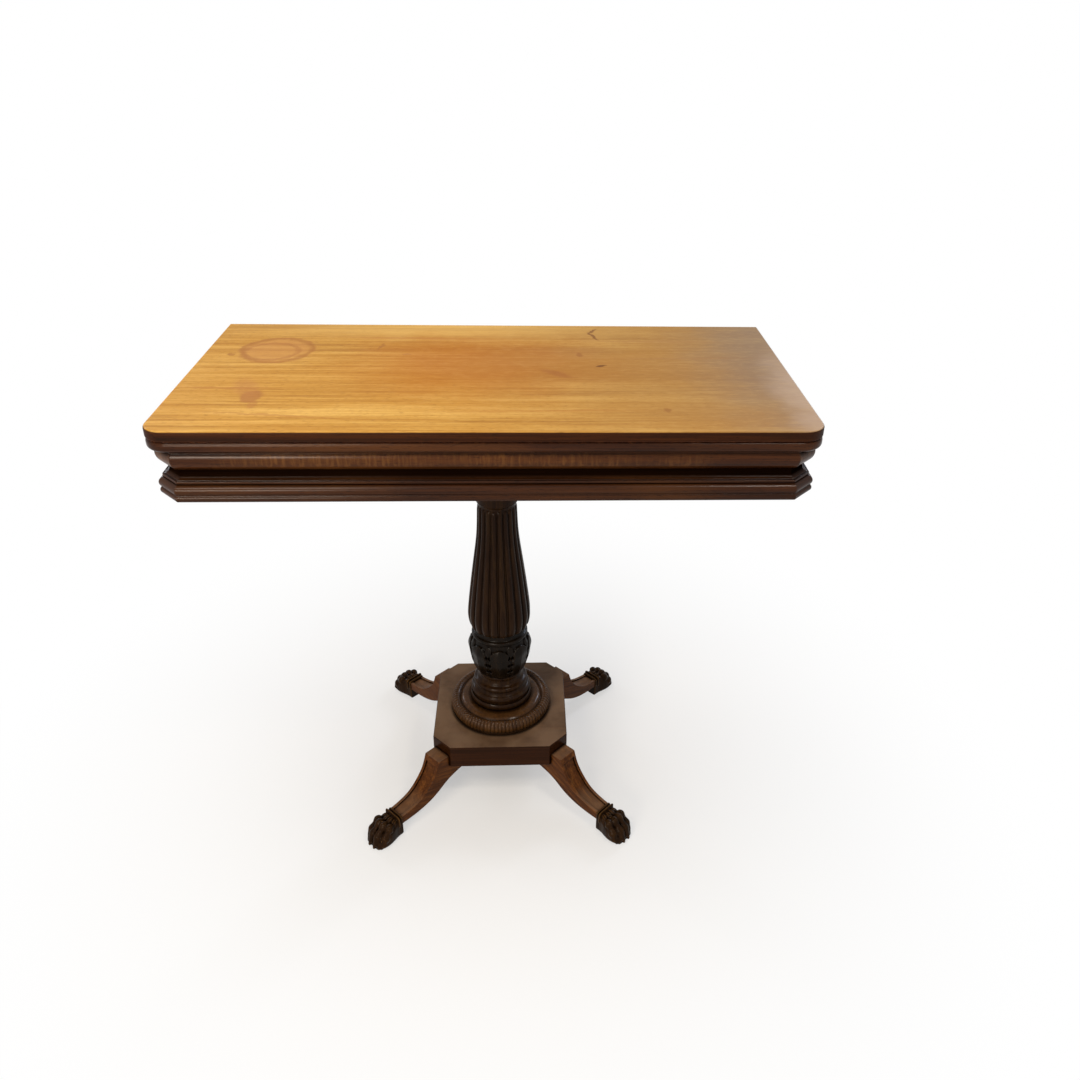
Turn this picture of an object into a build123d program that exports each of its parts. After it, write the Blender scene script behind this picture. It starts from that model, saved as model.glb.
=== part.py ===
from build123d import *
from math import cos, pi, sin, sqrt
import os

os.makedirs("parts", exist_ok=True)

# A fold-over card table on a pedestal, closed. Lengths in millimetres.
# Origin on the floor under the middle of the top: X to the right, Y to the back, Z up.

# Whole table
top_length = 890
top_depth = 440
table_height = 762

# Fits and working allowances
overrun = 10
joint_clearance = 0.05
running_clearance = 0.08
leaf_gap = 0.4
swivel_gap = 0.4

# The two leaves of the top, equal in thickness so that they lie level when open
leaf_thickness = 15
leaf_corner_radius = 32
upper_arris_radius = 3
lower_arris_radius = 6
upper_seam_radius = 2.4
lower_seam_radius = 5
banding_width = 34
banding_thickness = 1.2
baize_thickness = 1.0

# Brass hinges let into the ends of the leaves, with their pins on the seam
hinge_length = 58
hinge_width = 11
hinge_plate_thickness = 3
hinge_eye_radius = 4.4
hinge_pin_radius = 1.3
hinge_eye_room = 0.3
hinge_screw_count = 3
hinge_screw_inset = 12
hinge_screw_spacing = 17

# Countersunk screws
small_head_radius = 2.9
small_head_depth = 1.8
small_shank_radius = 1.3
small_screw_length = 15
plate_screw_length = 11
leg_head_radius = 5
leg_head_depth = 3.4
leg_shank_radius = 2.4
leg_screw_length = 32
leg_screw_grip = 8
leg_screw_count = 2
leg_screw_inset = 18
leg_screw_spacing = 22

# The swivel: an iron plate under the lower leaf with a threaded stud
swivel_plate_side = 84
swivel_plate_thickness = 3
swivel_plate_screw_inset = 13
swivel_stud_radius = 8
swivel_washer_radius = 19
swivel_washer_thickness = 2
swivel_nut_side = 27
swivel_nut_height = 10
swivel_stud_tail = 4
swivel_nut_chamfer = 1.5

# The frieze under the top, with canted corners; setbacks are from the edge of the top
frieze_height = 72
frieze_cant = 31
frieze_wall_setback = 34
frieze_lip_setback = 7.5
frieze_lip_height = 3
ovolo_setback = 5
ovolo_height = 26
ovolo_crown_share = 0.55
ovolo_foot_setback = 14.5
waist_setback = 18
waist_height_share = 0.45
corner_block_run = 26
corner_block_drop = 6

# The moulding planted round the foot of the frieze
moulding_height = 28
moulding_back_setback = 16
moulding_fillet_setback = 8.5
moulding_fillet_height = 3.5
moulding_foot_setback = 2.5
moulding_quirk = 2
moulding_bead_height = 9

# Rails and boards inside the frieze
bearer_width = 120
bearer_thickness = 24
housing_depth = 7
well_board_thickness = 7
well_board_groove = 5
pivot_rail_width = 90
pivot_rail_thickness = 24

# The column: a reeded shaft on a carved cup, a ringed socle and a dished ring
shaft_radius = 53
neck_radius = 31
collar_radius = 34
cap_radius = 56
reed_count = 20
reed_depth = 2.4
tenon_radius = 19
cup_height = 89
cup_radius = 56
socle_height = 63
socle_radius = 54
dish_height = 25
dish_radius = 89
wedge_width = 4
wedge_tip_width = 1
wedge_length = 20

# The platform and its four legs
platform_half_side = 116
platform_cant = 31
platform_thickness = 43
platform_bottom = 83
platform_arris_radius = 1.5
leg_width = 35
leg_block_depth = 22.5
leg_block_drop = 21
leg_tongue_depth = 56
leg_tongue_thickness = 17
leg_reach = 105
ankle_width = 30
ankle_height = 31.5
ankle_thickness = 15
leg_channel_depth = 1.8
leg_channel_border = 5

# Carved paw feet
paw_length = 57
paw_width = 53
paw_height = 44
paw_collar_length = 10
paw_collar_rise = 3.2
toe_length = 44
toe_radius = 8.6
paw_dowel_radius = 3.5
paw_dowel_length = 26

# Levels, counted down from the top and up from the floor
seam_level = table_height - leaf_thickness - leaf_gap / 2
upper_leaf_bottom = seam_level + leaf_gap / 2
lower_leaf_top = seam_level - leaf_gap / 2
lower_leaf_bottom = lower_leaf_top - leaf_thickness
frieze_top = lower_leaf_bottom - swivel_gap
frieze_bottom = frieze_top - frieze_height
platform_top = platform_bottom + platform_thickness
dish_top = platform_top + dish_height
socle_top = dish_top + socle_height
cup_top = socle_top + cup_height
shaft_length = frieze_bottom - cup_top

# Where the moving parts turn: the pivot carries the hinge line to the middle of the frame
hinge_line = top_depth / 2 + leaf_gap / 2
pivot_place = hinge_line / 2


def trace(start, *steps):
    """Face inside an outline: each step is the end of a line, or the middle and end of an arc."""
    edges = []
    here = start
    for step in steps:
        if isinstance(step[0], tuple):
            edges.append(ThreePointArc(here, *step))
            here = step[-1]
        else:
            edges.append(Line(here, step))
            here = step
    if here != start:
        edges.append(Line(here, start))
    return make_face(Curve() + edges)


def turned(profile):
    """Solid of a profile drawn as radius and height, turned about the column's axis."""
    return revolve(Plane.XZ * profile, Axis.Z)


def canted_corners(half_x, half_y, cant):
    """Corners of a rectangle with its corners cut off, anticlockwise from the front left."""
    return [
        (-half_x + cant, -half_y),
        (half_x - cant, -half_y),
        (half_x, -half_y + cant),
        (half_x, half_y - cant),
        (half_x - cant, half_y),
        (-half_x + cant, half_y),
        (-half_x, half_y - cant),
        (-half_x, -half_y + cant),
    ]


def frieze_outline(setback):
    """Corners of the frieze's plan, moved in from the edge of the top by a setback."""
    cant = frieze_cant - setback * (2 - sqrt(2))
    return canted_corners(top_length / 2 - setback, top_depth / 2 - setback, cant)


def prism(corners, bottom, height):
    """Upright solid on a plan of straight sides."""
    return Pos(0, 0, bottom) * extrude(make_face(Polyline(*corners, close=True)), height)


def screw(head_radius, head_depth, shank_radius, length):
    """Countersunk screw pointing down, with its flat head at the origin."""
    return turned(
        trace(
            (0, 0),
            (head_radius, 0),
            (shank_radius, -head_depth),
            (shank_radius, -length + shank_radius),
            (0, -length),
        )
    )


def save(name, solid):
    export_step(solid, f"parts/{name}.step")


low_align = (Align.CENTER, Align.CENTER, Align.MIN)
high_align = (Align.CENTER, Align.CENTER, Align.MAX)


# Plan of a leaf: rounded at the front corners, square at the hinged back edge
leaf_rectangle = Rectangle(top_length, top_depth)
leaf_plan = fillet(leaf_rectangle.vertices().group_by(Axis.Y)[0], leaf_corner_radius)
baize_length = top_length - 2 * banding_width
baize_depth = top_depth - 2 * banding_width


def rounded_slab(bottom, low_radius, high_radius):
    """Leaf with its front and end edges rounded, and its back edge left square."""
    slab = Pos(0, 0, bottom) * extrude(leaf_plan, leaf_thickness)
    for level, radius in ((bottom, low_radius), (bottom + leaf_thickness, high_radius)):
        rim = [
            edge
            for edge in slab.edges()
            if abs(edge.bounding_box().min.Z - level) < leaf_gap
            and edge.bounding_box().size.Z < leaf_gap
            and edge.center().Y < top_depth / 2 - radius
        ]
        slab = fillet(rim, radius)
    return slab


# Hinges: both plates of a pair lie in the end of the top and lap at the eye
def hinge_disc(side, radius, start, depth):
    """Disc about the hinge line, from a depth below the end of the top."""
    disc = Cylinder(radius, depth, align=(Align.CENTER, Align.CENTER, Align.MIN))
    place = Plane(
        origin=(side * (top_length / 2 - start), hinge_line, seam_level),
        z_dir=(-side, 0, 0),
    )
    return place * disc


def hinge_arm(side, bottom, slack):
    """Bar of a hinge plate in the end of one leaf, with slack for its recess."""
    size_y = hinge_length + slack
    middle_x = side * (top_length - hinge_plate_thickness) / 2
    middle_y = top_depth / 2 - size_y / 2
    bar = Box(hinge_plate_thickness, size_y, hinge_width + slack)
    return Pos(middle_x, middle_y, bottom + hinge_width / 2) * bar


def hinge_screw_places(side, bottom):
    """Places of the screw heads on one hinge plate, each pointing into the leaf."""
    places = []
    for number in range(hinge_screw_count):
        y = top_depth / 2 - hinge_screw_inset - number * hinge_screw_spacing
        places.append(
            Plane(
                origin=(side * top_length / 2, y, bottom + hinge_width / 2),
                x_dir=(0, 1, 0),
                z_dir=(side, 0, 0),
            )
        )
    return places


lap = hinge_plate_thickness / 2
hinge_sides = {"left": -1, "right": 1}
hinge_levels = {"lower": lower_leaf_top - hinge_width, "upper": upper_leaf_bottom}
hinge_cuts = {"lower": [], "upper": []}
hinge_screw_sets = {"lower": [], "upper": []}
hinge_screw = screw(small_head_radius, small_head_depth, small_shank_radius, small_screw_length)

for side_name, side in hinge_sides.items():
    eye_room = hinge_disc(side, hinge_eye_radius + hinge_eye_room, 0, hinge_plate_thickness)
    for leaf_name, bottom in hinge_levels.items():
        own_depth, other_depth = (lap, 0) if leaf_name == "lower" else (0, lap)
        screws = [place * hinge_screw for place in hinge_screw_places(side, bottom)]
        arm = hinge_arm(side, bottom, 0)
        arm -= hinge_disc(side, hinge_eye_radius + hinge_eye_room, other_depth, lap)
        eye = hinge_disc(side, hinge_eye_radius, own_depth, lap - joint_clearance)
        bore = hinge_disc(side, hinge_pin_radius + joint_clearance, 0, hinge_plate_thickness)
        plate = arm + eye - bore
        for one in screws:
            plate -= one
        save(f"hinge_plate_{leaf_name}_{side_name}", plate)
        hinge_cuts[leaf_name] += [hinge_arm(side, bottom, joint_clearance), eye_room] + screws
        hinge_screw_sets[leaf_name] += screws
    save(f"hinge_pin_{side_name}", hinge_disc(side, hinge_pin_radius, 0, hinge_plate_thickness))

for leaf_name, screws in hinge_screw_sets.items():
    save(f"hinge_screws_{leaf_name}", Compound(children=screws))

# The swivel's plate, stud, washer and square nut
swivel_place = Pos(pivot_place, pivot_place, 0)
stud_top = lower_leaf_bottom + swivel_plate_thickness
washer_top = frieze_top - pivot_rail_thickness - running_clearance
nut_top = washer_top - swivel_washer_thickness
stud_bottom = nut_top - swivel_nut_height - swivel_stud_tail
screw_reach = swivel_plate_side / 2 - swivel_plate_screw_inset

plate_screw = screw(small_head_radius, small_head_depth, small_shank_radius, plate_screw_length)
swivel_plate_screws = [
    Pos(pivot_place + across * screw_reach, pivot_place + along * screw_reach, lower_leaf_bottom)
    * Rot(X=180)
    * plate_screw
    for across in (-1, 1)
    for along in (-1, 1)
]
swivel_recess = (
    swivel_place
    * Pos(0, 0, lower_leaf_bottom)
    * Box(swivel_plate_side, swivel_plate_side, swivel_plate_thickness, align=low_align)
)
swivel_stud = (
    swivel_place
    * Pos(0, 0, stud_bottom)
    * Cylinder(swivel_stud_radius, stud_top - stud_bottom, align=low_align)
)
swivel_plate = swivel_recess - swivel_stud
for one in swivel_plate_screws:
    swivel_plate -= one
nut_block = Box(swivel_nut_side, swivel_nut_side, swivel_nut_height, align=low_align)
nut_block = chamfer(nut_block.edges().filter_by(Axis.Z), swivel_nut_chamfer)
swivel_nut = swivel_place * Pos(0, 0, nut_top - swivel_nut_height) * nut_block - swivel_stud
washer_disc = Cylinder(swivel_washer_radius, swivel_washer_thickness, align=low_align)
swivel_washer = swivel_place * Pos(0, 0, nut_top) * washer_disc - swivel_stud

save("swivel_plate", swivel_plate)
save("swivel_stud", swivel_stud)
save("swivel_nut", swivel_nut)
save("swivel_washer", swivel_washer)
save("swivel_plate_screws", Compound(children=swivel_plate_screws))

# Each leaf is cut into its ground and the banding glued round the baize
leaf_bottoms = {"lower": lower_leaf_bottom, "upper": upper_leaf_bottom}
slabs = {
    "lower": rounded_slab(lower_leaf_bottom, lower_arris_radius, lower_seam_radius),
    "upper": rounded_slab(upper_leaf_bottom, upper_seam_radius, upper_arris_radius),
}
slabs["lower"] -= swivel_recess
for one in swivel_plate_screws:
    slabs["lower"] -= one

for leaf_name, bottom in leaf_bottoms.items():
    slab = slabs[leaf_name]
    for cut in hinge_cuts[leaf_name]:
        slab -= cut
    if leaf_name == "lower":
        veneer_bottom = lower_leaf_top - banding_thickness
        baize_bottom = veneer_bottom
    else:
        veneer_bottom = upper_leaf_bottom
        baize_bottom = upper_leaf_bottom + banding_thickness - baize_thickness
    room = Box(top_length + overrun, top_depth + overrun, banding_thickness, align=low_align)
    layer = Pos(0, 0, veneer_bottom) * room
    field = Box(baize_length, baize_depth, banding_thickness, align=low_align)
    save(f"{leaf_name}_leaf", slab - layer)
    save(f"{leaf_name}_banding", (slab & layer) - Pos(0, 0, veneer_bottom) * field)
    cloth = Box(
        baize_length - 2 * joint_clearance,
        baize_depth - 2 * joint_clearance,
        baize_thickness,
        align=low_align,
    )
    save(f"{leaf_name}_baize", Pos(0, 0, baize_bottom) * cloth)


# Sections of the frieze: x is the setback from the edge of the top, y the height
ovolo_foot = frieze_height - frieze_lip_height - ovolo_height
ovolo_crown = (ovolo_setback, ovolo_foot + ovolo_height * ovolo_crown_share)
waist_middle = (waist_setback, moulding_height + (ovolo_foot - moulding_height) * waist_height_share)
rail_section = trace(
    (frieze_wall_setback, 0),
    (frieze_wall_setback, frieze_height),
    (frieze_lip_setback, frieze_height),
    (frieze_lip_setback, frieze_height - frieze_lip_height),
    (ovolo_crown, (ovolo_foot_setback, ovolo_foot)),
    (waist_middle, (moulding_fillet_setback + moulding_quirk, moulding_height)),
    (moulding_back_setback, moulding_height),
    (moulding_back_setback, 0),
)
fillet_foot = moulding_height - moulding_fillet_height
quirk_setback = moulding_foot_setback + moulding_quirk
moulding_section = trace(
    (moulding_back_setback, 0),
    (moulding_back_setback, moulding_height),
    (moulding_fillet_setback, moulding_height),
    (moulding_fillet_setback, fillet_foot),
    (moulding_fillet_setback + moulding_quirk, fillet_foot - moulding_quirk / 2),
    (
        (moulding_foot_setback, (fillet_foot + moulding_bead_height) / 2),
        (quirk_setback, moulding_bead_height + moulding_quirk / 2),
    ),
    (quirk_setback, moulding_bead_height),
    ((moulding_foot_setback, moulding_bead_height / 2), (quirk_setback, 0)),
)


def mitred_strip(section, number):
    """Length of a section along one side of the frieze, cut to the mitres at its two ends."""
    corners = [Vector(x, y, frieze_bottom) for x, y in frieze_outline(0)]
    before, start, end, after = (corners[(number + step) % len(corners)] for step in (-1, 0, 1, 2))
    along = (end - start).normalized()
    inward = Vector(-along.Y, along.X, 0)
    place = Plane(origin=start - along * overrun, x_dir=inward, z_dir=along)
    strip = extrude(place * section, (end - start).length + 2 * overrun)
    start_mitre = Plane(origin=start, z_dir=along + (start - before).normalized())
    end_mitre = Plane(origin=end, z_dir=along + (after - end).normalized())
    strip = split(strip, bisect_by=start_mitre, keep=Keep.TOP)
    return split(strip, bisect_by=end_mitre, keep=Keep.BOTTOM)


frieze_sides = [
    "front",
    "cant_front_right",
    "right",
    "cant_back_right",
    "back",
    "cant_back_left",
    "left",
    "cant_front_left",
]

# Boards inside the frieze, with the housings and the groove that hold them
bearer_top = frieze_bottom + bearer_thickness
well_floor = bearer_top + well_board_thickness
inner_half_depth = top_depth / 2 - frieze_wall_setback
housed_depth = 2 * (inner_half_depth + housing_depth)
bearer = Pos(0, 0, frieze_bottom) * Box(bearer_width, housed_depth, bearer_thickness, align=low_align)
bearer -= Cylinder(tenon_radius + joint_clearance, 2 * table_height)
pivot_rail = Pos(pivot_place, 0, frieze_top - pivot_rail_thickness) * Box(
    pivot_rail_width, housed_depth, pivot_rail_thickness, align=low_align
)
pivot_hole = swivel_place * Cylinder(swivel_stud_radius + running_clearance, 2 * table_height)
well_outline = frieze_outline(frieze_wall_setback - well_board_groove)
well_board = prism(well_outline, bearer_top, well_board_thickness)
frieze_cuts = [bearer, pivot_rail, well_board]

for number, side_name in enumerate(frieze_sides):
    rail = mitred_strip(rail_section, number)
    for cut in frieze_cuts:
        rail -= cut
    save(f"frieze_{side_name}", rail)
    save(f"moulding_{side_name}", mitred_strip(moulding_section, number))

save("column_bearer", bearer)
save("pivot_rail", pivot_rail - pivot_hole)
save("well_board", well_board)

inner_corners = frieze_outline(frieze_wall_setback)
for number, side_name in enumerate(frieze_sides):
    if "cant" in side_name:
        start = Vector(*inner_corners[number])
        end = Vector(*inner_corners[(number + 1) % len(inner_corners)])
        before = Vector(*inner_corners[number - 1])
        after = Vector(*inner_corners[(number + 2) % len(inner_corners)])
        start_run = start + (before - start).normalized() * corner_block_run
        end_run = end + (after - end).normalized() * corner_block_run
        plan = [(point.X, point.Y) for point in (start_run, start, end, end_run)]
        block_height = frieze_top - corner_block_drop - well_floor
        save(side_name.replace("cant", "corner_block"), prism(plan, well_floor, block_height))

# Shares of the shaft's length and of its largest radius along the reeded part
reed_height_shares = (0, 0.018, 0.058, 0.112, 0.232, 0.35, 0.462, 0.544, 0.663)
reed_radius_shares = (0.86, 0.948, 1, 0.996, 0.904, 0.798, 0.694, 0.642, 0.61)


def reeded_section(radius, level):
    """Outline of the shaft at one level: a ring of reeds that meet in valleys."""
    valley = radius - reed_depth * radius / shaft_radius
    arcs = []
    for number in range(reed_count):
        angles = [2 * pi * (number + step) / reed_count for step in (0, 0.5, 1)]
        radii = (valley, radius, valley)
        arcs.append(ThreePointArc(*[(r * cos(a), r * sin(a)) for r, a in zip(radii, angles)]))
    return Pos(0, 0, level) * make_face(Curve() + arcs)


shaft = loft(
    [
        reeded_section(shaft_radius * radius_share, cup_top + shaft_length * height_share)
        for height_share, radius_share in zip(reed_height_shares, reed_radius_shares)
    ],
    ruled=True,
)

# The shaft's plain head: a hollow neck and a collar, then a slow flare to the cap under the frieze
reeds_top = cup_top + shaft_length * reed_height_shares[-1]
head_length = frieze_bottom - reeds_top
head_shares = (0.07, 0.22, 0.8, 0.85)
neck_top, collar_top, cove_top, cap_foot = (reeds_top + head_length * share for share in head_shares)
cap_waist_radius = (collar_radius + cap_radius) / 2
shaft += turned(
    trace(
        (0, reeds_top),
        (neck_radius, reeds_top),
        ((neck_radius, (reeds_top + neck_top) / 2), (collar_radius, neck_top)),
        (collar_radius, collar_top),
        ((collar_radius, (collar_top + cove_top) / 2), (cap_waist_radius, cove_top)),
        (cap_waist_radius + reed_depth, cove_top),
        (cap_waist_radius + reed_depth, cap_foot),
        ((cap_radius - reed_depth / 2, (cap_foot + frieze_bottom) / 2), (cap_radius, frieze_bottom)),
        (0, frieze_bottom),
    )
)
shaft += Pos(0, 0, platform_bottom) * Cylinder(tenon_radius, bearer_top - platform_bottom, align=low_align)


def wedge(mouth, direction):
    """Wedge driven into the end of the tenon, from its mouth inwards."""
    outline = trace(
        (-wedge_width / 2, 0),
        (wedge_width / 2, 0),
        (wedge_tip_width / 2, wedge_length * direction),
        (-wedge_tip_width / 2, wedge_length * direction),
    )
    bar = extrude(Plane.XZ * outline, tenon_radius + overrun, both=True)
    return (Pos(0, 0, mouth) * bar) & Cylinder(tenon_radius, 2 * table_height)


wedges = {"column_wedge_bottom": wedge(platform_bottom, 1), "column_wedge_top": wedge(bearer_top, -1)}
for name, solid in wedges.items():
    shaft -= solid
    save(name, solid)
save("column_shaft", shaft)


def stretch(shares, radius, bottom, height):
    """Steps of an outline, from shares of a radius and of a height above a level."""
    steps = []
    for share in shares:
        if isinstance(share[0], tuple):
            steps.append(tuple((r * radius, bottom + h * height) for r, h in share))
        else:
            steps.append((share[0] * radius, bottom + share[1] * height))
    return steps


column_bore = Cylinder(tenon_radius + joint_clearance, 2 * table_height)

# The cup under the shaft: a bellied body and a necking ring
cup_belly_shares = (
    (0.643, 0),
    (0.73, 0.07),
    (0.83, 0.2),
    (0.93, 0.4),
    (1, 0.6),
    (0.98, 0.74),
    (0.87, 0.87),
)
belly = [(r * cup_radius, socle_top + h * cup_height) for r, h in cup_belly_shares]
ring_foot = belly[-1]
ring_middle = (ring_foot[0] + reed_depth, (ring_foot[1] + cup_top) / 2)
ring_head = (ring_foot[0], cup_top)
cup_edges = [
    Line((0, cup_top), (0, socle_top)),
    Line((0, socle_top), belly[0]),
    Spline(*belly),
    ThreePointArc(ring_foot, ring_middle, ring_head),
    Line(ring_head, (0, cup_top)),
]
save("leaf_cup", turned(make_face(Curve() + cup_edges)) - column_bore)

socle_shares = (
    (0, 0),
    (0.96, 0),
    ((1, 0.1), (0.96, 0.2)),
    (0.93, 0.2),
    (0.93, 0.25),
    ((0.965, 0.34), (0.91, 0.42)),
    ((0.84, 0.47), (0.82, 0.54)),
    ((0.87, 0.61), (0.81, 0.68)),
    ((0.70, 0.76), (0.68, 0.86)),
    ((0.72, 0.93), (0.66, 1)),
    (0, 1),
)
socle_outline = stretch(socle_shares, socle_radius, dish_top, socle_height)
save("ringed_socle", turned(trace(*socle_outline)) - column_bore)

dish_shares = (
    (0, 0),
    (0.96, 0),
    (0.96, 0.08),
    ((1, 0.45), (0.95, 0.86)),
    ((0.9, 1), (0.84, 0.84)),
    ((0.82, 0.76), (0.8, 0.8)),
    ((0.71, 0.96), (0.6, 1)),
    (0, 1),
)
dish_outline = stretch(dish_shares, dish_radius, platform_top, dish_height)
save("ring_dish", turned(trace(*dish_outline)) - column_bore)

# The legs, drawn pointing along X: first number out from the column, second number the height
platform_plan = canted_corners(platform_half_side, platform_half_side, platform_cant)
platform = prism(platform_plan, platform_bottom, platform_thickness)
flat_edges = platform.edges().filter_by(Axis.Z, reverse=True)
platform = fillet(flat_edges, platform_arris_radius) - column_bore

cant_distance = (platform_half_side - platform_cant / 2) * sqrt(2)
block_end = cant_distance + leg_block_depth
block_top = platform_top - leg_block_drop
ankle_end = cant_distance + leg_reach
ankle_top = ankle_height + ankle_thickness / 2
ankle_bottom = ankle_height - ankle_thickness / 2
tongue_start = cant_distance - leg_tongue_depth
tongue_bottom = platform_bottom - leg_tongue_thickness

# Shares from the block to the ankle, and from the tongue to the ankle
leg_outer_shares = (
    (0, 1),
    (0.042, 0.848),
    (0.103, 0.66),
    (0.285, 0.365),
    (0.497, 0.15),
    (0.78, 0.035),
    (1, 0),
)
leg_under_shares = (
    (0, 1),
    (0.23, 0.869),
    (0.398, 0.667),
    (0.534, 0.369),
    (0.69, 0.138),
    (0.86, 0.03),
    (1, 0),
)


def leg_curve(shares, start, top, bottom, shift):
    """Points of a leg's long curve from its shares, moved out and up by a shift."""
    return [
        (start + (ankle_end - start) * along + shift, bottom + (top - bottom) * up + shift)
        for along, up in shares
    ]


def leg_plan(border):
    """Plan of a leg, drawn in from its sides by a border: parallel to the block, then tapered."""
    wide = leg_width / 2 - border
    narrow = ankle_width / 2 - border
    start = tongue_start - overrun
    corners = [(start, -wide), (block_end, -wide), (ankle_end, -narrow), (ankle_end + overrun, -narrow)]
    corners += [(x, -y) for x, y in reversed(corners)]
    return prism(corners, 0, platform_top)


outer_curve = leg_curve(leg_outer_shares, block_end, block_top, ankle_top, 0)
under_curve = leg_curve(leg_under_shares, tongue_start, tongue_bottom, ankle_bottom, 0)
leg_edges = [
    Polyline(under_curve[0], (tongue_start, platform_bottom), (cant_distance, platform_bottom)),
    Polyline((cant_distance, platform_bottom), (cant_distance, block_top), outer_curve[0]),
    Spline(*outer_curve),
    Line(outer_curve[-1], under_curve[-1]),
    Spline(*under_curve),
]
leg = extrude(Plane.XZ * make_face(Curve() + leg_edges), leg_width, both=True) & leg_plan(0)

# The leg's outer face is hollowed between two borders
channel_floor = leg_curve(leg_outer_shares[1:], block_end, block_top, ankle_top, -leg_channel_depth)
channel_mouth = leg_curve(leg_outer_shares[1:], block_end, block_top, ankle_top, leg_channel_depth)
floor_end = (ankle_end + overrun, channel_floor[-1][1])
mouth_end = (ankle_end + overrun, channel_mouth[-1][1])
channel_edges = [
    Spline(*channel_floor),
    Polyline(channel_floor[-1], floor_end, mouth_end, channel_mouth[-1]),
    Spline(*channel_mouth),
    Line(channel_mouth[0], channel_floor[0]),
]
channel = extrude(Plane.XZ * make_face(Curve() + channel_edges), leg_width, both=True)
leg -= channel & leg_plan(leg_channel_border)

# Screws up through the tongue into the platform, and a dowel into the paw
leg_screw = screw(leg_head_radius, leg_head_depth, leg_shank_radius, leg_screw_length)
leg_screws = []
for number in range(leg_screw_count):
    along = tongue_start + leg_screw_inset + number * leg_screw_spacing
    place = Pos(along, 0, platform_bottom - leg_screw_grip)
    leg_screws.append(place * Rot(X=180) * leg_screw)
    leg -= place * Cylinder(leg_head_radius + running_clearance, platform_bottom, align=high_align)
for one in leg_screws:
    leg -= one
dowel = Pos(ankle_end, 0, ankle_height) * Rot(Y=90) * Cylinder(paw_dowel_radius, paw_dowel_length)
leg -= dowel

# A paw: a body that widens to the knuckles, upright at its sides, then a collar and four toes
paw_along_shares = (0, 0.16, 0.28, 0.45, 0.62, 0.8, 0.9)
paw_width_shares = (0.62, 0.64, 0.73, 0.88, 0.92, 0.82, 0.66)
paw_height_shares = (0.8, 0.82, 0.86, 0.92, 0.9, 0.68, 0.4)
paw_side_share = 0.45


def paw_section(along, width, height):
    """Cross-section of a paw: flat below, upright at the sides and arched above."""
    outline = trace(
        (-width / 2, 0),
        (width / 2, 0),
        (width / 2, height * paw_side_share),
        ((0, height), (-width / 2, height * paw_side_share)),
    )
    return Plane(origin=(ankle_end + along, 0, 0), x_dir=(0, 1, 0), z_dir=(1, 0, 0)) * outline


paw = loft(
    [
        paw_section(paw_length * along, paw_width * wide, paw_height * high)
        for along, wide, high in zip(paw_along_shares, paw_width_shares, paw_height_shares)
    ],
    ruled=True,
)
collar_plane = Plane(origin=(ankle_end, 0, ankle_height), x_dir=(0, 1, 0), z_dir=(1, 0, 0))
collar_width = ankle_width + 2 * paw_collar_rise
collar_height = ankle_thickness + 2 * paw_collar_rise
collar_face = RectangleRounded(collar_width, collar_height, paw_collar_rise * 2)
paw += extrude(collar_plane * collar_face, paw_collar_length)

# Side shares of the paw's half width, and reach shares of its length, for the four toes
toe_side_shares = (-0.72, -0.25, 0.25, 0.72)
toe_reach_shares = (0.9, 1, 1, 0.9)
toe_swell_shares = ((0, 0.35), (0.15, 0.75), (0.36, 1), (0.6, 0.95), (0.84, 0.75), (1, 0.3))
toe_root_share = 0.7
toe_tip_share = 0.8
for side_share, reach_share in zip(toe_side_shares, toe_reach_shares):
    side = side_share * paw_width / 2
    tip = Vector(ankle_end + paw_length * reach_share, side, toe_radius * toe_tip_share)
    root = Vector(tip.X - toe_length, side * toe_root_share, paw_height - toe_radius)
    swell = [(r * toe_radius, along * toe_length) for along, r in toe_swell_shares]
    toe_edges = [
        Line((0, 0), swell[0]),
        Spline(*swell),
        Line(swell[-1], (0, toe_length)),
        Line((0, toe_length), (0, 0)),
    ]
    toe = turned(make_face(Curve() + toe_edges))
    paw += Plane(origin=root, z_dir=tip - root) * toe
paw &= Pos(ankle_end, 0, 0) * Box(2 * paw_length, 2 * paw_width, 2 * paw_height, align=low_align)
paw -= dowel

corner_angles = {"back_right": 45, "back_left": 135, "front_left": 225, "front_right": 315}
all_leg_screws = []
all_dowels = []
for corner_name, angle in corner_angles.items():
    turn = Rot(Z=angle)
    save(f"leg_{corner_name}", turn * leg)
    save(f"paw_{corner_name}", turn * paw)
    all_leg_screws += [turn * one for one in leg_screws]
    all_dowels.append(turn * dowel)
for one in all_leg_screws:
    platform -= one
save("platform", platform)
save("leg_screws", Compound(children=all_leg_screws))
save("paw_dowels", Compound(children=all_dowels))
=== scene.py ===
# %% [markdown]
# # A fold-over card table in mahogany
#
# This lesson dresses a finished CAD model of an English card table of about 1830. The table is
# shown closed: two leaves lie on each other over a moulded frieze, and a reeded column carries
# them on a platform with four sabre legs that end in carved paws.
#
# The CAD model is the frame. Its parts already sit in their places, in metres, with X to the
# right, Y to the back and Z up, so each cell below either gives a CAD part a finish or puts a
# carved piece in its place.

# %% Load the frame
import math

import bmesh
import bpy
import numpy as np
from mathutils import Matrix, Vector


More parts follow.
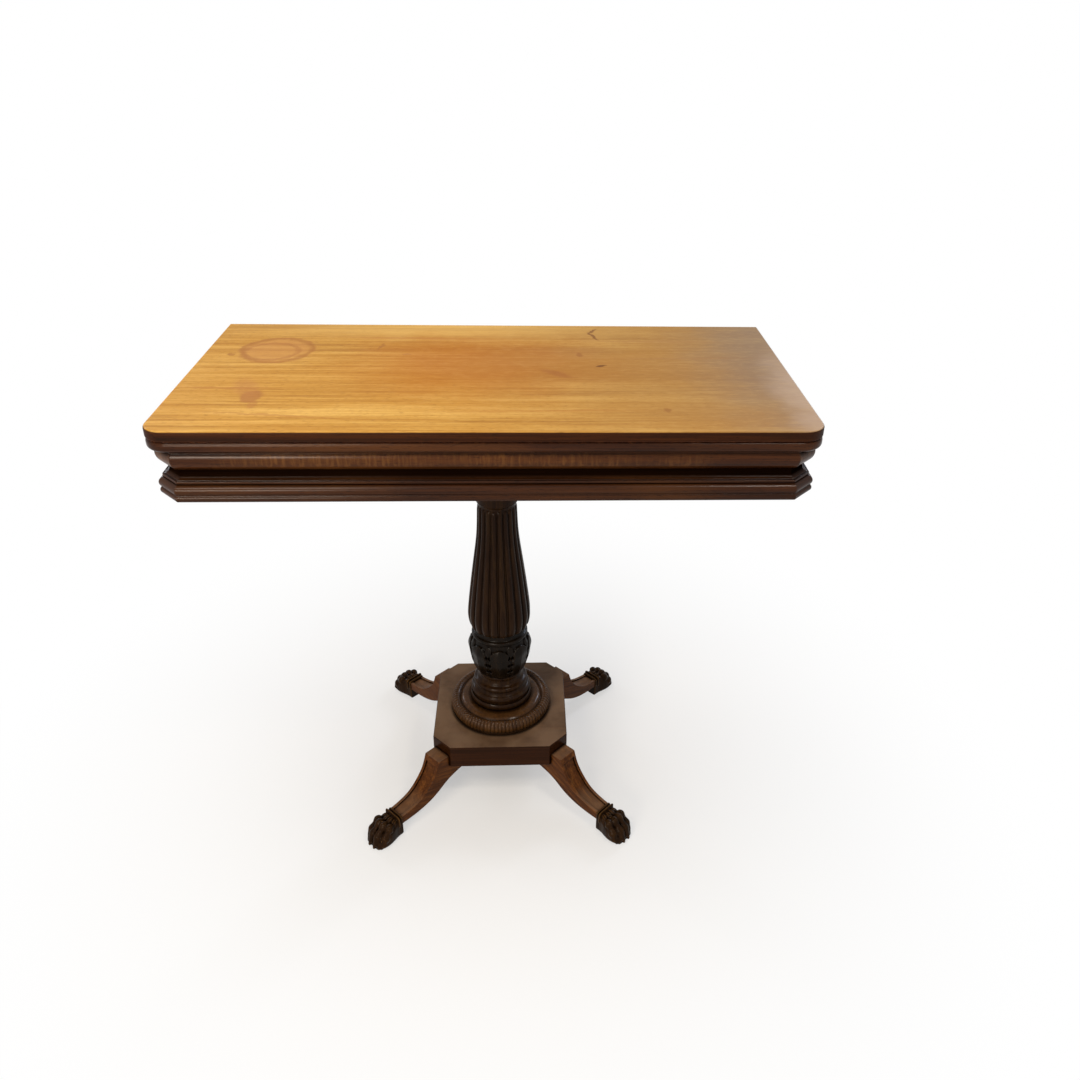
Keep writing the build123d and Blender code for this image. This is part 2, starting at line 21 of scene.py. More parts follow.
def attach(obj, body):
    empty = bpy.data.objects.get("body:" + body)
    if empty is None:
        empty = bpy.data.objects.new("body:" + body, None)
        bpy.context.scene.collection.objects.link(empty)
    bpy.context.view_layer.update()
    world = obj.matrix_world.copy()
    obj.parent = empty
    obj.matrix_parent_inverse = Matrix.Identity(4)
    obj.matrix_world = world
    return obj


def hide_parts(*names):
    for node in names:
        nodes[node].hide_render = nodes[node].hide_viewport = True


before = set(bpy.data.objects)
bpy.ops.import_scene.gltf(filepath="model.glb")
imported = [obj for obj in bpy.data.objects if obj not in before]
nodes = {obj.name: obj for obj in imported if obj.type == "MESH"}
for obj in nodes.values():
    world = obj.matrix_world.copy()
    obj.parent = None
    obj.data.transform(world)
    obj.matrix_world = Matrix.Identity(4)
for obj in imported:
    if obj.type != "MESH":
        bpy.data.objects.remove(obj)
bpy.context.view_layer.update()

print("parts in the frame:", len(nodes))

# %% [markdown]
# ## Units and colours
#
# A joiner thinks in millimetres and Blender in metres, so one value turns the first into the
# second. Colours are picked as they look on a screen, in sRGB hex, while a shader counts in
# linear light. One function does that sum for every colour in the file.

# %% Millimetres and colours
MM = 0.001


def linear(hex_colour):
    """An sRGB hex colour as linear red, green, blue and alpha."""
    channels = []
    for start in (1, 3, 5):
        value = int(hex_colour[start : start + 2], 16) / 255
        low = value / 12.92
        high = ((value + 0.055) / 1.055) ** 2.4
        channels.append(low if value <= 0.04045 else high)
    return (*channels, 1.0)


print("a mid grey of #808080 is", round(linear("#808080")[0], 3), "in linear light")

# %% [markdown]
# ## A helper for shader nodes
#
# A procedural material is a small graph. Each line below that calls `add` puts one node into the
# graph, sets its own options and plugs its inputs: a plain value is typed into the socket, and
# the output of another node is linked to it. A colour ramp also takes its list of stops.

# %% One function that adds a node
MIX_FACTOR, MIX_A, MIX_B, MIX_RESULT = 0, 6, 7, 2


def add(tree, kind, inputs=None, stops=None, **options):
    """Add a node with its options, its inputs and, on a ramp, its stops."""
    made = tree.nodes.new(kind)
    for option, value in options.items():
        setattr(made, option, value)
    for socket_name, value in (inputs or {}).items():
        socket = made.inputs[socket_name]
        if isinstance(value, bpy.types.NodeSocket):
            tree.links.new(value, socket)
        else:
            socket.default_value = value
    for number, (place, colour) in enumerate(stops or []):
        elements = made.color_ramp.elements
        stop = elements[number] if number < 2 else elements.new(place)
        stop.position = place
        stop.color = linear(colour)
    return made


def new_material(name):
    """An empty material, its tree, its output node and the place of a point on its object."""
    material = bpy.data.materials.new(name)
    material.use_nodes = True
    tree = material.node_tree
    tree.nodes.clear()
    place = add(tree, "ShaderNodeTexCoord").outputs["Object"]
    return material, tree, add(tree, "ShaderNodeOutputMaterial"), place


# %% [markdown]
# ## The camera
#
# The photograph was taken from in front of the table, a little above it, with a wide lens. The
# camera stands 1.32 m in front of the table's middle and 1.26 m above the floor, looks down by
# 29 degrees and a hair to the right, and is rolled by one and a half degrees. The picture is a
# cut-out that sits a little off the lens's axis, and the two shifts bring that back.

# %% Camera
camera_place = Vector((0.0433, -1.3202, 1.2552))
pitch = math.radians(29.34)
yaw = math.radians(3.59)
roll = math.radians(1.46)

forward = Vector(
    (math.sin(yaw) * math.cos(pitch), math.cos(yaw) * math.cos(pitch), -math.sin(pitch))
)
level_right = Vector((math.cos(yaw), -math.sin(yaw), 0))
level_up = level_right.cross(forward)
camera_right = math.cos(roll) * level_right + math.sin(roll) * level_up
camera_up = math.cos(roll) * level_up - math.sin(roll) * level_right

camera_data = bpy.data.cameras.new("camera")
camera_data.sensor_width = 36
camera_data.lens = 31.09
camera_data.shift_x = -0.0324
camera_data.shift_y = -0.0207
camera = bpy.data.objects.new("camera", camera_data)
turn = Matrix((camera_right, camera_up, -forward)).transposed()
camera.matrix_world = Matrix.Translation(camera_place) @ turn.to_4x4()
bpy.context.scene.collection.objects.link(camera)
bpy.context.scene.camera = camera
print("camera looks along", [round(part, 3) for part in forward])

# %% [markdown]
# ## Floor and background
#
# The table stands on a plain pale floor. Under the table most of what shows is real matt paint,
# which takes its shadow. Further out the paint fades into the plain white that the camera and
# the polish see all round, so that no horizon line shows from any side.

# %% Floor
FLOOR_SIZE = 14
FLOOR_PAINT = "#DAD7D1"
FLOOR_GAP = 0.2
FADE_START, FADE_END = -0.6, 1.0
BACKGROUND = "#FFFFFF"

floor_mesh = bpy.data.meshes.new("floor")
half = FLOOR_SIZE / 2
corners = [(-half, -half, 0), (half, -half, 0), (half, half, 0), (-half, half, 0)]
floor_mesh.from_pydata(corners, [], [(0, 1, 2, 3)])
floor = bpy.data.objects.new("floor", floor_mesh)
floor.location.z = -FLOOR_GAP * MM
bpy.context.scene.collection.objects.link(floor)

floor_material, tree, output, place = new_material("matt_floor_paint")
distance = add(tree, "ShaderNodeVectorMath", {0: place}, operation="LENGTH")
fade = add(
    tree,
    "ShaderNodeMapRange",
    {"Value": distance.outputs["Value"], "From Min": FADE_START, "From Max": FADE_END},
    interpolation_type="SMOOTHSTEP",
)
ray = add(tree, "ShaderNodeLightPath")
seen = add(
    tree,
    "ShaderNodeMath",
    {0: ray.outputs["Is Camera Ray"], 1: ray.outputs["Is Glossy Ray"]},
    operation="MAXIMUM",
)
plain = add(
    tree, "ShaderNodeMath", {0: seen.outputs[0], 1: fade.outputs["Result"]}, operation="MULTIPLY"
)
paint = add(
    tree, "ShaderNodeBsdfPrincipled", {"Base Color": linear(FLOOR_PAINT), "Roughness": 0.9}
)
white = add(tree, "ShaderNodeEmission", {"Color": linear(BACKGROUND), "Strength": 1.0})
mix = add(
    tree, "ShaderNodeMixShader", {0: plain.outputs[0], 1: paint.outputs[0], 2: white.outputs[0]}
)
tree.links.new(mix.outputs[0], output.inputs["Surface"])
floor_mesh.materials.append(floor_material)

# %% [markdown]
# ## Soft studio light
#
# The world is a pale tent that lights everything evenly, and rather dimly, so that hollows stay
# dark. The lamps shape the table. The key is a wide, thin, warm strip high in front on the left:
# it draws a thin line of light along each moulding, and its light falls off towards the right
# end. A strip at table height and a small one on the right do the same for the ends of the
# frieze. A wide soft box overhead brightens whatever looks up, and two cool narrow ones stand
# behind the table like windows, for the sheen on the right end of the top and on the turned
# rings. Powers are in watts. They are low enough that each colour renders about as it is
# written, and the Standard view shows those colours without a film look.

# %% World and lamps
WORLD_LEVEL = 0.28

bpy.context.scene.view_settings.view_transform = "Standard"

world = bpy.data.worlds.new("pale_tent")
world.use_nodes = True
bpy.context.scene.world = world
tree = world.node_tree
tree.nodes.clear()
output = add(tree, "ShaderNodeOutputWorld")
ray = add(tree, "ShaderNodeLightPath")
seen = add(
    tree,
    "ShaderNodeMath",
    {0: ray.outputs["Is Camera Ray"], 1: ray.outputs["Is Glossy Ray"]},
    operation="MAXIMUM",
)
seen = add(
    tree,
    "ShaderNodeMath",
    {0: seen.outputs[0], 1: ray.outputs["Is Transmission Ray"]},
    operation="MAXIMUM",
)
tent = add(tree, "ShaderNodeBackground", {"Color": linear("#F7F8FA"), "Strength": WORLD_LEVEL})
white = add(tree, "ShaderNodeBackground", {"Color": linear(BACKGROUND), "Strength": 1.0})
mix = add(
    tree, "ShaderNodeMixShader", {0: seen.outputs[0], 1: tent.outputs[0], 2: white.outputs[0]}
)
tree.links.new(mix.outputs[0], output.inputs["Surface"])


def soft_box(name, place, aim, width, height, power, colour):
    """A rectangular lamp at a place, turned to its aim."""
    lamp = bpy.data.lights.new(name, "AREA")
    lamp.shape = "RECTANGLE"
    lamp.size = width
    lamp.size_y = height
    lamp.energy = power
    lamp.color = linear(colour)[:3]
    holder = bpy.data.objects.new(name, lamp)
    holder.location = place
    look = Vector(aim) - Vector(place)
    holder.rotation_euler = look.to_track_quat("-Z", "Y").to_euler()
    bpy.context.scene.collection.objects.link(holder)
    print(name, "at", round(look.length, 2), "m")


soft_box("key", (-0.75, -1.25, 1.95), (-0.1, -0.1, 0.7), 0.7, 0.3, 15, "#FFF2E0")
soft_box("low_left_strip", (-0.95, -2.0, 0.95), (-0.2, -0.2, 0.6), 0.7, 0.35, 22, "#FFF2E0")
soft_box("right_strip", (0.8, -0.9, 2.0), (0.3, -0.2, 0.7), 0.4, 0.2, 10, "#FFF6EA")
soft_box("overhead", (-0.5, 0.15, 2.5), (-0.1, 0, 0.7), 1.1, 1.1, 20, "#FFF6EA")
soft_box("right_window", (1.45, 1.6, 1.5), (0.1, 0, 0.5), 0.25, 0.8, 18, "#DCE8FF")
soft_box("left_window", (-1.6, 1.5, 1.2), (0, 0, 0.2), 0.15, 0.6, 9, "#EDF2FF")

# %% [markdown]
# ## How wood is drawn
#
# Sawn wood shows three things at once. The growth of the tree gives broad soft bands, some
# 12 mm apart, that run the length of the board. Inside them lie fine fibres, a millimetre or two
# wide, and in mahogany short open pores that catch dirt and polish as dark dashes. Real pores
# are 0.3 mm wide, which is finer than this picture can show, so they are drawn at about 1 mm.
#
# Each of the three is one noise texture, stretched along the grain. The noise lives in the
# piece's own space, in metres, so dividing by a size in millimetres sets its scale.

# %% Stretch a noise along the grain
def fibres(tree, grain_space, long_mm, wide_mm, detail, seed):
    """Noise whose grains are so long and so wide; the seed is an offset that gives a new board."""
    size = (long_mm * MM, wide_mm * MM, wide_mm * MM)
    space = add(
        tree,
        "ShaderNodeMapping",
        {"Vector": grain_space, "Scale": size, "Location": (seed, seed * MM, 0)},
        vector_type="TEXTURE",
    )
    noise = add(
        tree,
        "ShaderNodeTexNoise",
        {"Vector": space.outputs[0], "Scale": 1.0, "Detail": detail, "Distortion": 0.3},
    )
    return noise.outputs["Fac"]


# %% [markdown]
# ## One recipe for every board
#
# The recipe takes the three tones of a wood, the way its grain runs and the width of its bands.
# It adds up bands and fibres, turns the sum into colour with a ramp, lets a slow cloud pull the
# colour towards a second tone, and darkens the pores. It gives back the colour and a height for
# the bump, so that a later cell can still add stains before the polish goes on.

# %% Figure of a board
FINE_SHARE = 0.42


def figure(tree, place, turn, tones, cloud_tone, pore_tone, band_mm=12, seed=0.0):
    """Colour, height and cloud of a board whose grain runs along its turned X."""
    grain_space = add(tree, "ShaderNodeMapping", {"Vector": place, "Rotation": turn}).outputs[0]
    bands = fibres(tree, grain_space, 420, band_mm, 3.0, seed)
    fine = fibres(tree, grain_space, 130, 2.2, 4.0, seed + 3)
    pores = fibres(tree, grain_space, 11, 1.0, 1.0, seed + 7)
    cloud = fibres(tree, grain_space, 260, 110, 2.0, seed + 11)

    both = add(
        tree, "ShaderNodeMix", {MIX_FACTOR: FINE_SHARE, 2: bands, 3: fine}, data_type="FLOAT"
    ).outputs[0]
    tone = add(
        tree,
        "ShaderNodeValToRGB",
        {"Fac": both},
        stops=[(0.36, tones[0]), (0.5, tones[1]), (0.64, tones[2])],
    ).outputs["Color"]
    pull = add(
        tree,
        "ShaderNodeMapRange",
        {"Value": cloud, "From Min": 0.42, "From Max": 0.68, "To Max": 0.6},
    ).outputs["Result"]
    tone = add(
        tree,
        "ShaderNodeMix",
        {MIX_FACTOR: pull, MIX_A: tone, MIX_B: linear(cloud_tone)},
        data_type="RGBA",
    ).outputs[MIX_RESULT]
    open_pores = add(
        tree,
        "ShaderNodeMapRange",
        {"Value": pores, "From Min": 0.6, "From Max": 0.7, "To Max": 0.55},
    ).outputs["Result"]
    tone = add(
        tree,
        "ShaderNodeMix",
        {MIX_FACTOR: open_pores, MIX_A: tone, MIX_B: linear(pore_tone)},
        data_type="RGBA",
    ).outputs[MIX_RESULT]
    height = add(
        tree, "ShaderNodeMath", {0: fine, 1: open_pores}, operation="SUBTRACT"
    ).outputs[0]
    return tone, height, cloud


# %% [markdown]
# ## Shellac and wax
#
# Old mahogany is French polished: many thin coats of shellac, which is a clear resin with an
# index of refraction near 1.5, rubbed smooth and later waxed. In the shader the wood itself is
# fairly rough and a thin coat lies over it. Two hundred years of dusting also soften every
# sharp edge, so the normal comes from a bevel node that rounds arrises by a fraction of a
# millimetre and lets them catch the light.
#
# Polish mirrors whatever stands round it, and here that is white on all sides, which would lay
# a grey veil over dark wood. The specular level is therefore turned well down, and the lamps
# are bright enough to leave clear highlights all the same.
#
# Hollows are painted nearly black, as painted shade, and they also lose their gloss. Ambient
# occlusion finds them: it is the share of the sky that a point sees within a few millimetres.
# Arrises are the opposite: cloths and hands have polished them most, so their coat is three
# times as heavy. They are where the rounded normal of the bevel and the true normal of the face
# disagree.

# %% Polish a board
# Colour and strength of the painted shade that darkens hollows.
PAINTED_SHADE = "#060302"
PAINTED_SHADE_AMOUNT = 0.92
WEAR = 0.07


def tint(tree, tone, mask, colour, amount):
    """Lay a colour over a tone where a mask is one."""
    share = add(tree, "ShaderNodeMath", {0: mask, 1: amount}, operation="MULTIPLY").outputs[0]
    return add(
        tree,
        "ShaderNodeMix",
        {MIX_FACTOR: share, MIX_A: tone, MIX_B: linear(colour)},
        data_type="RGBA",
    ).outputs[MIX_RESULT]


def hollows(tree, reach_mm):
    """Mask of hollows: one deep in a groove, nought on an open face."""
    open_share = add(
        tree, "ShaderNodeAmbientOcclusion", {"Distance": reach_mm * MM}, samples=8
    ).outputs["AO"]
    return add(
        tree, "ShaderNodeMapRange", {"Value": open_share, "From Min": 0.9, "From Max": 0.55}
    ).outputs["Result"]


def polish(
    tree,
    output,
    tone,
    height,
    cloud,
    rough,
    shine,
    coat,
    coat_rough,
    arris_mm=0.7,
    shade_reach_mm=8,
    more_painted_shade=0.0,
    bare=0.0,
):
    """Wood under shellac: arrises are glossier, hollows are dull with painted shade, bare wood has
    no gloss.
    """
    edge = add(tree, "ShaderNodeBevel", {"Radius": arris_mm * MM}, samples=6).outputs[0]
    face = add(tree, "ShaderNodeNewGeometry").outputs["Normal"]
    agree = add(
        tree, "ShaderNodeVectorMath", {0: edge, 1: face}, operation="DOT_PRODUCT"
    ).outputs["Value"]
    arris = add(
        tree, "ShaderNodeMapRange", {"Value": agree, "From Min": 0.995, "From Max": 0.93}
    ).outputs["Result"]
    hollow = hollows(tree, shade_reach_mm)
    hollow = add(
        tree, "ShaderNodeMath", {0: hollow, 1: more_painted_shade}, operation="MAXIMUM"
    ).outputs[0]
    dull = add(tree, "ShaderNodeMath", {0: hollow, 1: bare}, operation="MAXIMUM").outputs[0]
    # Painted shade: the hollows that ambient occlusion finds are darkened nearly to black.
    tone = tint(tree, tone, hollow, PAINTED_SHADE, PAINTED_SHADE_AMOUNT)
    bump = add(
        tree,
        "ShaderNodeBump",
        {"Height": height, "Normal": edge, "Strength": 0.35, "Distance": 0.08 * MM},
    ).outputs[0]
    worn = {
        "Value": cloud,
        "From Min": 0.3,
        "From Max": 0.7,
        "To Min": rough - WEAR,
        "To Max": rough + WEAR,
    }
    shader = add(
        tree,
        "ShaderNodeBsdfPrincipled",
        {
            "Base Color": tone,
            "Roughness": add(tree, "ShaderNodeMapRange", worn).outputs["Result"],
            "IOR": 1.5,
            "Normal": bump,
            "Coat Roughness": coat_rough,
            "Coat Normal": edge,
        },
    )
    rubbed = add(
        tree, "ShaderNodeMapRange", {"Value": arris, "To Min": coat, "To Max": 3 * coat}
    ).outputs["Result"]
    for socket_name, on_open_wood in (("Specular IOR Level", shine), ("Coat Weight", rubbed)):
        gloss = add(
            tree, "ShaderNodeMapRange", {"Value": dull, "To Min": on_open_wood, "To Max": 0.0}
        ).outputs["Result"]
        tree.links.new(gloss, shader.inputs[socket_name])
    tree.links.new(shader.outputs[0], output.inputs["Surface"])


# %% [markdown]
# ## Give a finish to CAD parts
#
# A CAD part keeps its shape and only changes its clothes: the new material goes into the slot
# of its mesh. A board's grain follows its length, so the same finish is made once for each
# direction in which boards run.

# %% Dress parts
def dress(names, material):
    """Put a material on CAD parts."""
    for name in names:
        slots = nodes[name].material_slots
        if not slots:
            nodes[name].data.materials.append(material)
        for slot in slots:
            slot.material = material
    print(material.name, "on", len(names), "parts")


ALONG_X = (0, 0, 0)
ALONG_Y = (0, 0, math.radians(-90))
ALONG_Z = (0, math.radians(90), 0)
ALONG_RIGHT_CANT = (0, 0, math.radians(-45))
ALONG_LEFT_CANT = (0, 0, math.radians(45))

# %% [markdown]
# ## The top: mahogany bleached by the sun
#
# The top is one solid board whose outer face has stood near a window for generations. Light has
# bleached its red to honey gold, while the edges stay dark with old polish and handling. So the
# material mixes two figures of the same board, and the height of the point decides which one
# shows: gold above the rounded arris, dark brown below it.
#
# The middle keeps more of its red, as if something had stood there and shaded it. The right end
# is painted darker, as painted shade where the light falls off, and greyer, as a painted sheen,
# with a paler painted sheen along its right edge.

# %% Faded mahogany
TOP_LEVEL = 762 * MM

faded, tree, output, place = new_material("sun_faded_mahogany_under_wax")
gold, height, cloud = figure(
    tree,
    place,
    ALONG_X,
    ("#986A28", "#B6883C", "#CDA458"),
    "#AF7D34",
    "#6C4112",
    band_mm=16,
    seed=1.3,
)


def patch(tree, place, centre, size, soft, turn=0.0):
    """Mask of a soft oval on the top: one inside, nought outside; sizes are half axes in mm."""
    space = add(
        tree,
        "ShaderNodeMapping",
        {
            "Vector": place,
            "Location": (centre[0] * MM, centre[1] * MM, TOP_LEVEL),
            "Rotation": (0, 0, math.radians(turn)),
            "Scale": (size[0] * MM, size[1] * MM, 1),
        },
        vector_type="TEXTURE",
    ).outputs[0]
    reach = add(tree, "ShaderNodeVectorMath", {0: space}, operation="LENGTH").outputs["Value"]
    return add(
        tree,
        "ShaderNodeMapRange",
        {"Value": reach, "From Min": 1 + soft, "From Max": 1 - soft},
        interpolation_type="SMOOTHSTEP",
    ).outputs["Result"]


# %% [markdown]
# The wide changes of colour come first. Their edges are pushed about by a slow noise, because a
# clean oval would look painted on. Each line of the table gives the middle and the half axes of
# an oval in millimetres, the softness of its edge, and a colour with its amount.

# %% Slow changes of colour on the top
CHANGES = {
    "red middle": ((-30, 35), (160, 115), 0.75, "#9C580C", 0.7),
    "red to the right of it": ((150, 30), (190, 70), 0.8, "#985E18", 0.4),
    "pale back edge": ((-60, 200), (260, 45), 0.8, "#CBA45C", 0.6),
    # Painted light: the right end is darkened as painted shade and greyed as a painted sheen, and a
    # paler painted sheen runs along its right edge.
    "painted shade at right end": ((430, 0), (330, 420), 0.7, "#876539", 0.62),
    "painted sheen at right end": ((480, 60), (150, 330), 0.6, "#716256", 0.65),
    "painted sheen on right edge": ((452, -90), (42, 150), 0.7, "#B8A390", 0.45),
}


def shaken(tree, place, wave_mm, detail, reach_mm):
    """The place, pushed about by a noise with waves and a reach of so many millimetres."""
    waves = {"Vector": place, "Scale": 1 / (wave_mm * MM), "Detail": detail}
    push = add(tree, "ShaderNodeTexNoise", waves).outputs["Color"]
    for operation, inputs in (
        ("SUBTRACT", {1: (0.5, 0.5, 0.5)}),
        ("SCALE", {3: reach_mm * MM}),
        ("ADD", {1: place}),
    ):
        push = add(
            tree, "ShaderNodeVectorMath", {0: push, **inputs}, operation=operation
        ).outputs[0]
    return push


loose = shaken(tree, place, 60, 2.0, 70)
for centre, size, soft, colour, amount in CHANGES.values():
    gold = tint(tree, gold, patch(tree, loose, centre, size, soft), colour, amount)
print("slow changes of colour:", ", ".join(CHANGES))

# %% [markdown]
# Bleached mahogany is never even from close by: faint pale and brown flecks, about 16 mm along
# the grain and 5 mm across, lie over the stripes.

# %% Flecks in the bleached wood
stretched = add(
    tree,
    "ShaderNodeMapping",
    {"Vector": place, "Scale": (16 * MM, 5 * MM, 5 * MM)},
    vector_type="TEXTURE",
).outputs[0]
mottle = add(
    tree, "ShaderNodeTexNoise", {"Vector": stretched, "Scale": 1.0, "Detail": 3.0}
).outputs["Fac"]
for start, end, colour in ((0.5, 0.7, "#8C5A22"), (0.5, 0.3, "#D9B46E")):
    flecks = add(
        tree, "ShaderNodeMapRange", {"Value": mottle, "From Min": start, "From Max": end}
    ).outputs["Result"]
    gold = tint(tree, gold, flecks, colour, 0.08)

# %% [markdown]
# ## What two hundred years have left on it
#
# A wet glass has left a ring near the left end, about 115 mm across and doubled where it was
# put down twice. In front of it is a dark spill, and there are a few bruises, dents and short
# cracks further along. Each is a soft oval or an oval ring, laid over the gold as a darker tone.
# Their places and sizes are written in millimetres from the middle of the top.

# %% Stains and bruises
rough_place = shaken(tree, place, 14, 3.0, 14)


def glass_ring(tree, centre, size, band):
    """Mask of an oval ring: a wide oval less a smaller one."""
    outer = patch(tree, rough_place, centre, size, 0.06)
    inner = patch(tree, rough_place, centre, [side - band for side in size], 0.1)
    return add(
        tree, "ShaderNodeMath", {0: outer, 1: inner}, operation="SUBTRACT", use_clamp=True
    ).outputs[0]


haze = patch(tree, rough_place, (-338, 91), (52, 54), 0.3)
gold = tint(tree, gold, haze, "#B07C46", 0.5)
gold = tint(tree, gold, glass_ring(tree, (-338, 91), (57, 59), 9), "#8A5426", 0.55)
gold = tint(tree, gold, glass_ring(tree, (-345, 84), (44, 42), 8), "#935E30", 0.45)

SPILLS = [
    ((-331, -100), (15, 22), 0.25, 0, "#8E5730", 0.6),
    ((-345, -68), (16, 34), 0.5, 20, "#A5713F", 0.45),
    ((-322, -130), (6, 14), 0.4, 0, "#9A6234", 0.4),
    ((92, -8), (24, 9), 0.5, -38, "#8B5426", 0.6),
    ((131, 74), (5, 9), 0.4, 0, "#7E4A20", 0.5),
    ((162, 26), (8, 3.4), 0.35, 4, "#5E3617", 0.85),
    ((158, 166), (3.2, 19), 0.3, 18, "#6B3F1B", 0.8),
    ((159, 192), (3.0, 14), 0.3, -25, "#6B3F1B", 0.75),
    ((-180, 112), (2.6, 14), 0.4, -12, "#8E5B2B", 0.6),
    ((-136, 75), (6, 5), 0.4, 0, "#9A6430", 0.5),
    ((239, -147), (6, 6), 0.4, 0, "#7C4C24", 0.55),
    ((-404, 70), (5, 7), 0.4, 0, "#8A5628", 0.55),
    ((-374, -68), (58, 4), 0.6, 0, "#9C672F", 0.55),
    ((-300, -163), (80, 3.5), 0.6, -8, "#9C672F", 0.55),
    ((60, -150), (120, 4), 0.7, 1, "#A26A30", 0.4),
    ((-120, 150), (110, 5), 0.7, -2, "#A8713A", 0.4),
    ((300, 60), (90, 4), 0.7, 2, "#8B6138", 0.4),
    ((250, 140), (100, 5), 0.7, -1, "#94683A", 0.35),
]
for centre, size, soft, turn, colour, amount in SPILLS:
    spot = patch(tree, rough_place, centre, size, soft, turn)
    gold = tint(tree, gold, spot, colour, amount)
print("marks on the top:", len(SPILLS) + 2)

# %% [markdown]
# Last comes the edge. A map range on the point's own height gives the line between gold and
# dark, about 1 mm below the face, where dusting has stopped. The underside of this board is dark
# too, and shows only when the table is unfolded.

# %% Edge of the top and its polish
dark_edge, _, _ = figure(
    tree, place, ALONG_X, ("#1B0A02", "#2C1305", "#3F1F08"), "#241003", "#100501", seed=5.1
)
level = add(tree, "ShaderNodeSeparateXYZ", {0: place}).outputs["Z"]
on_face = add(
    tree,
    "ShaderNodeMapRange",
    {"Value": level, "From Min": TOP_LEVEL - 1.3 * MM, "From Max": TOP_LEVEL - 0.5 * MM},
).outputs["Result"]
tone = add(
    tree, "ShaderNodeMix", {MIX_FACTOR: on_face, MIX_A: dark_edge, MIX_B: gold}, data_type="RGBA"
).outputs[MIX_RESULT]
polish(
    tree,
    output,
    tone,
    height,
    cloud,
    rough=0.6,
    shine=0.06,
    coat=0.05,
    coat_rough=0.38,
    shade_reach_mm=2,
)
dress(["upper_leaf"], faded)

# %% [markdown]
# ## The frieze: dark polished mahogany
#
# The frieze has kept its colour, a deep red brown, and painted shade makes it almost black in the
# hollows. Its mouldings are cut across mitred corners, so the boards of the ends run front to back
# and the four cants run at 45 degrees. In places the figure of the big upper roll also runs across
# the grain, in faint golden ripples some 5 mm wide that joiners call fiddleback. The waist between
# the roll and the moulding is painted nearly black as shade and loses its gloss, and the moulding
# below it is a little darker than the roll. All three are found by height.
#
# The mahogany is only a facing on pine rails, and the bare pine shows when the top is swung
# round: where the normal of the face points inwards, and on the rim that the top slides over,
# the material turns to pine without any gloss. The lower leaf keeps the dark finish all over,
# because its face is hidden under banding and baize.

# %% Polished mahogany in four directions
MOULDING_TOP, OVOLO_FOOT, FRIEZE_TOP = 687.2, 702.2, 731.2
PINE_TONES = ("#A9763F", "#C79A62", "#DBB883")


def where(tree, *slopes):
    """Mask that is one past every slope: each is a value, where it starts and where it ends."""
    mask = 1.0
    for value, start, end in slopes:
        step = add(
            tree,
            "ShaderNodeMapRange",
            {"Value": value, "From Min": start, "From Max": end},
            interpolation_type="SMOOTHSTEP",
        ).outputs["Result"]
        mask = add(tree, "ShaderNodeMath", {0: mask, 1: step}, operation="MULTIPLY").outputs[0]
    return mask


def polished_mahogany(name, turn, seed, inward):
    """Red-brown mahogany under shellac, with pine on its inward face."""
    material, tree, output, place = new_material(name)
    upright = add(tree, "ShaderNodeMapping", {"Vector": place, "Rotation": ALONG_Z}).outputs[0]
    tone, height, cloud = figure(
        tree,
        place,
        turn,
        ("#261105", "#361B09", "#48270F"),
        "#523013",
        "#120702",
        band_mm=14,
        seed=seed,
    )
    level = add(tree, "ShaderNodeSeparateXYZ", {0: place}).outputs["Z"]
    level = add(tree, "ShaderNodeMath", {0: level, 1: MM}, operation="DIVIDE").outputs[0]
    ripple = fibres(tree, upright, 40, 5, 2.0, seed + 5)
    flames = where(
        tree,
        (ripple, 0.4, 0.68),
        (cloud, 0.42, 0.6),
        (level, OVOLO_FOOT + 4, OVOLO_FOOT + 10),
        (level, OVOLO_FOOT + 28, OVOLO_FOOT + 24),
    )
    tone = tint(tree, tone, flames, "#754C22", 0.38)
    on_moulding = where(tree, (level, MOULDING_TOP + 1, MOULDING_TOP - 1))
    tone = tint(tree, tone, on_moulding, "#1C0D05", 0.3)
    pine_tone, _, _ = figure(tree, place, turn, PINE_TONES, "#B98A55", "#8E6236", seed=seed)
    face = add(tree, "ShaderNodeNewGeometry").outputs["Normal"]
    looks_in = add(
        tree, "ShaderNodeVectorMath", {0: face, 1: inward}, operation="DOT_PRODUCT"
    ).outputs["Value"]
    inside = where(tree, (looks_in, 0.95, 0.97))
    # Painted shade: the waist under the roll, found by height, is darkened nearly to black and
    # loses its gloss.
    painted_shade_waist = where(
        tree,
        (level, OVOLO_FOOT + 4, OVOLO_FOOT - 1),
        (level, MOULDING_TOP - 2, MOULDING_TOP + 5),
        (looks_in, 0.97, 0.95),
    )
    looks_up = add(tree, "ShaderNodeSeparateXYZ", {0: face}).outputs["Z"]
    rim = where(
        tree,
        (looks_up, 0.95, 0.97),
        (level, FRIEZE_TOP - 0.8, FRIEZE_TOP - 0.3),
        (level, FRIEZE_TOP + 0.5, FRIEZE_TOP + 0.2),
    )
    bare = add(tree, "ShaderNodeMath", {0: inside, 1: rim}, operation="MAXIMUM").outputs[0]
    tone = add(
        tree, "ShaderNodeMix", {MIX_FACTOR: bare, MIX_A: tone, MIX_B: pine_tone}, data_type="RGBA"
    ).outputs[MIX_RESULT]
    polish(
        tree,
        output,
        tone,
        height,
        cloud,
        rough=0.28,
        shine=0.03,
        coat=0.2,
        coat_rough=0.2,
        arris_mm=1.5,
        shade_reach_mm=18,
        more_painted_shade=painted_shade_waist,
        bare=bare,
    )
    return material


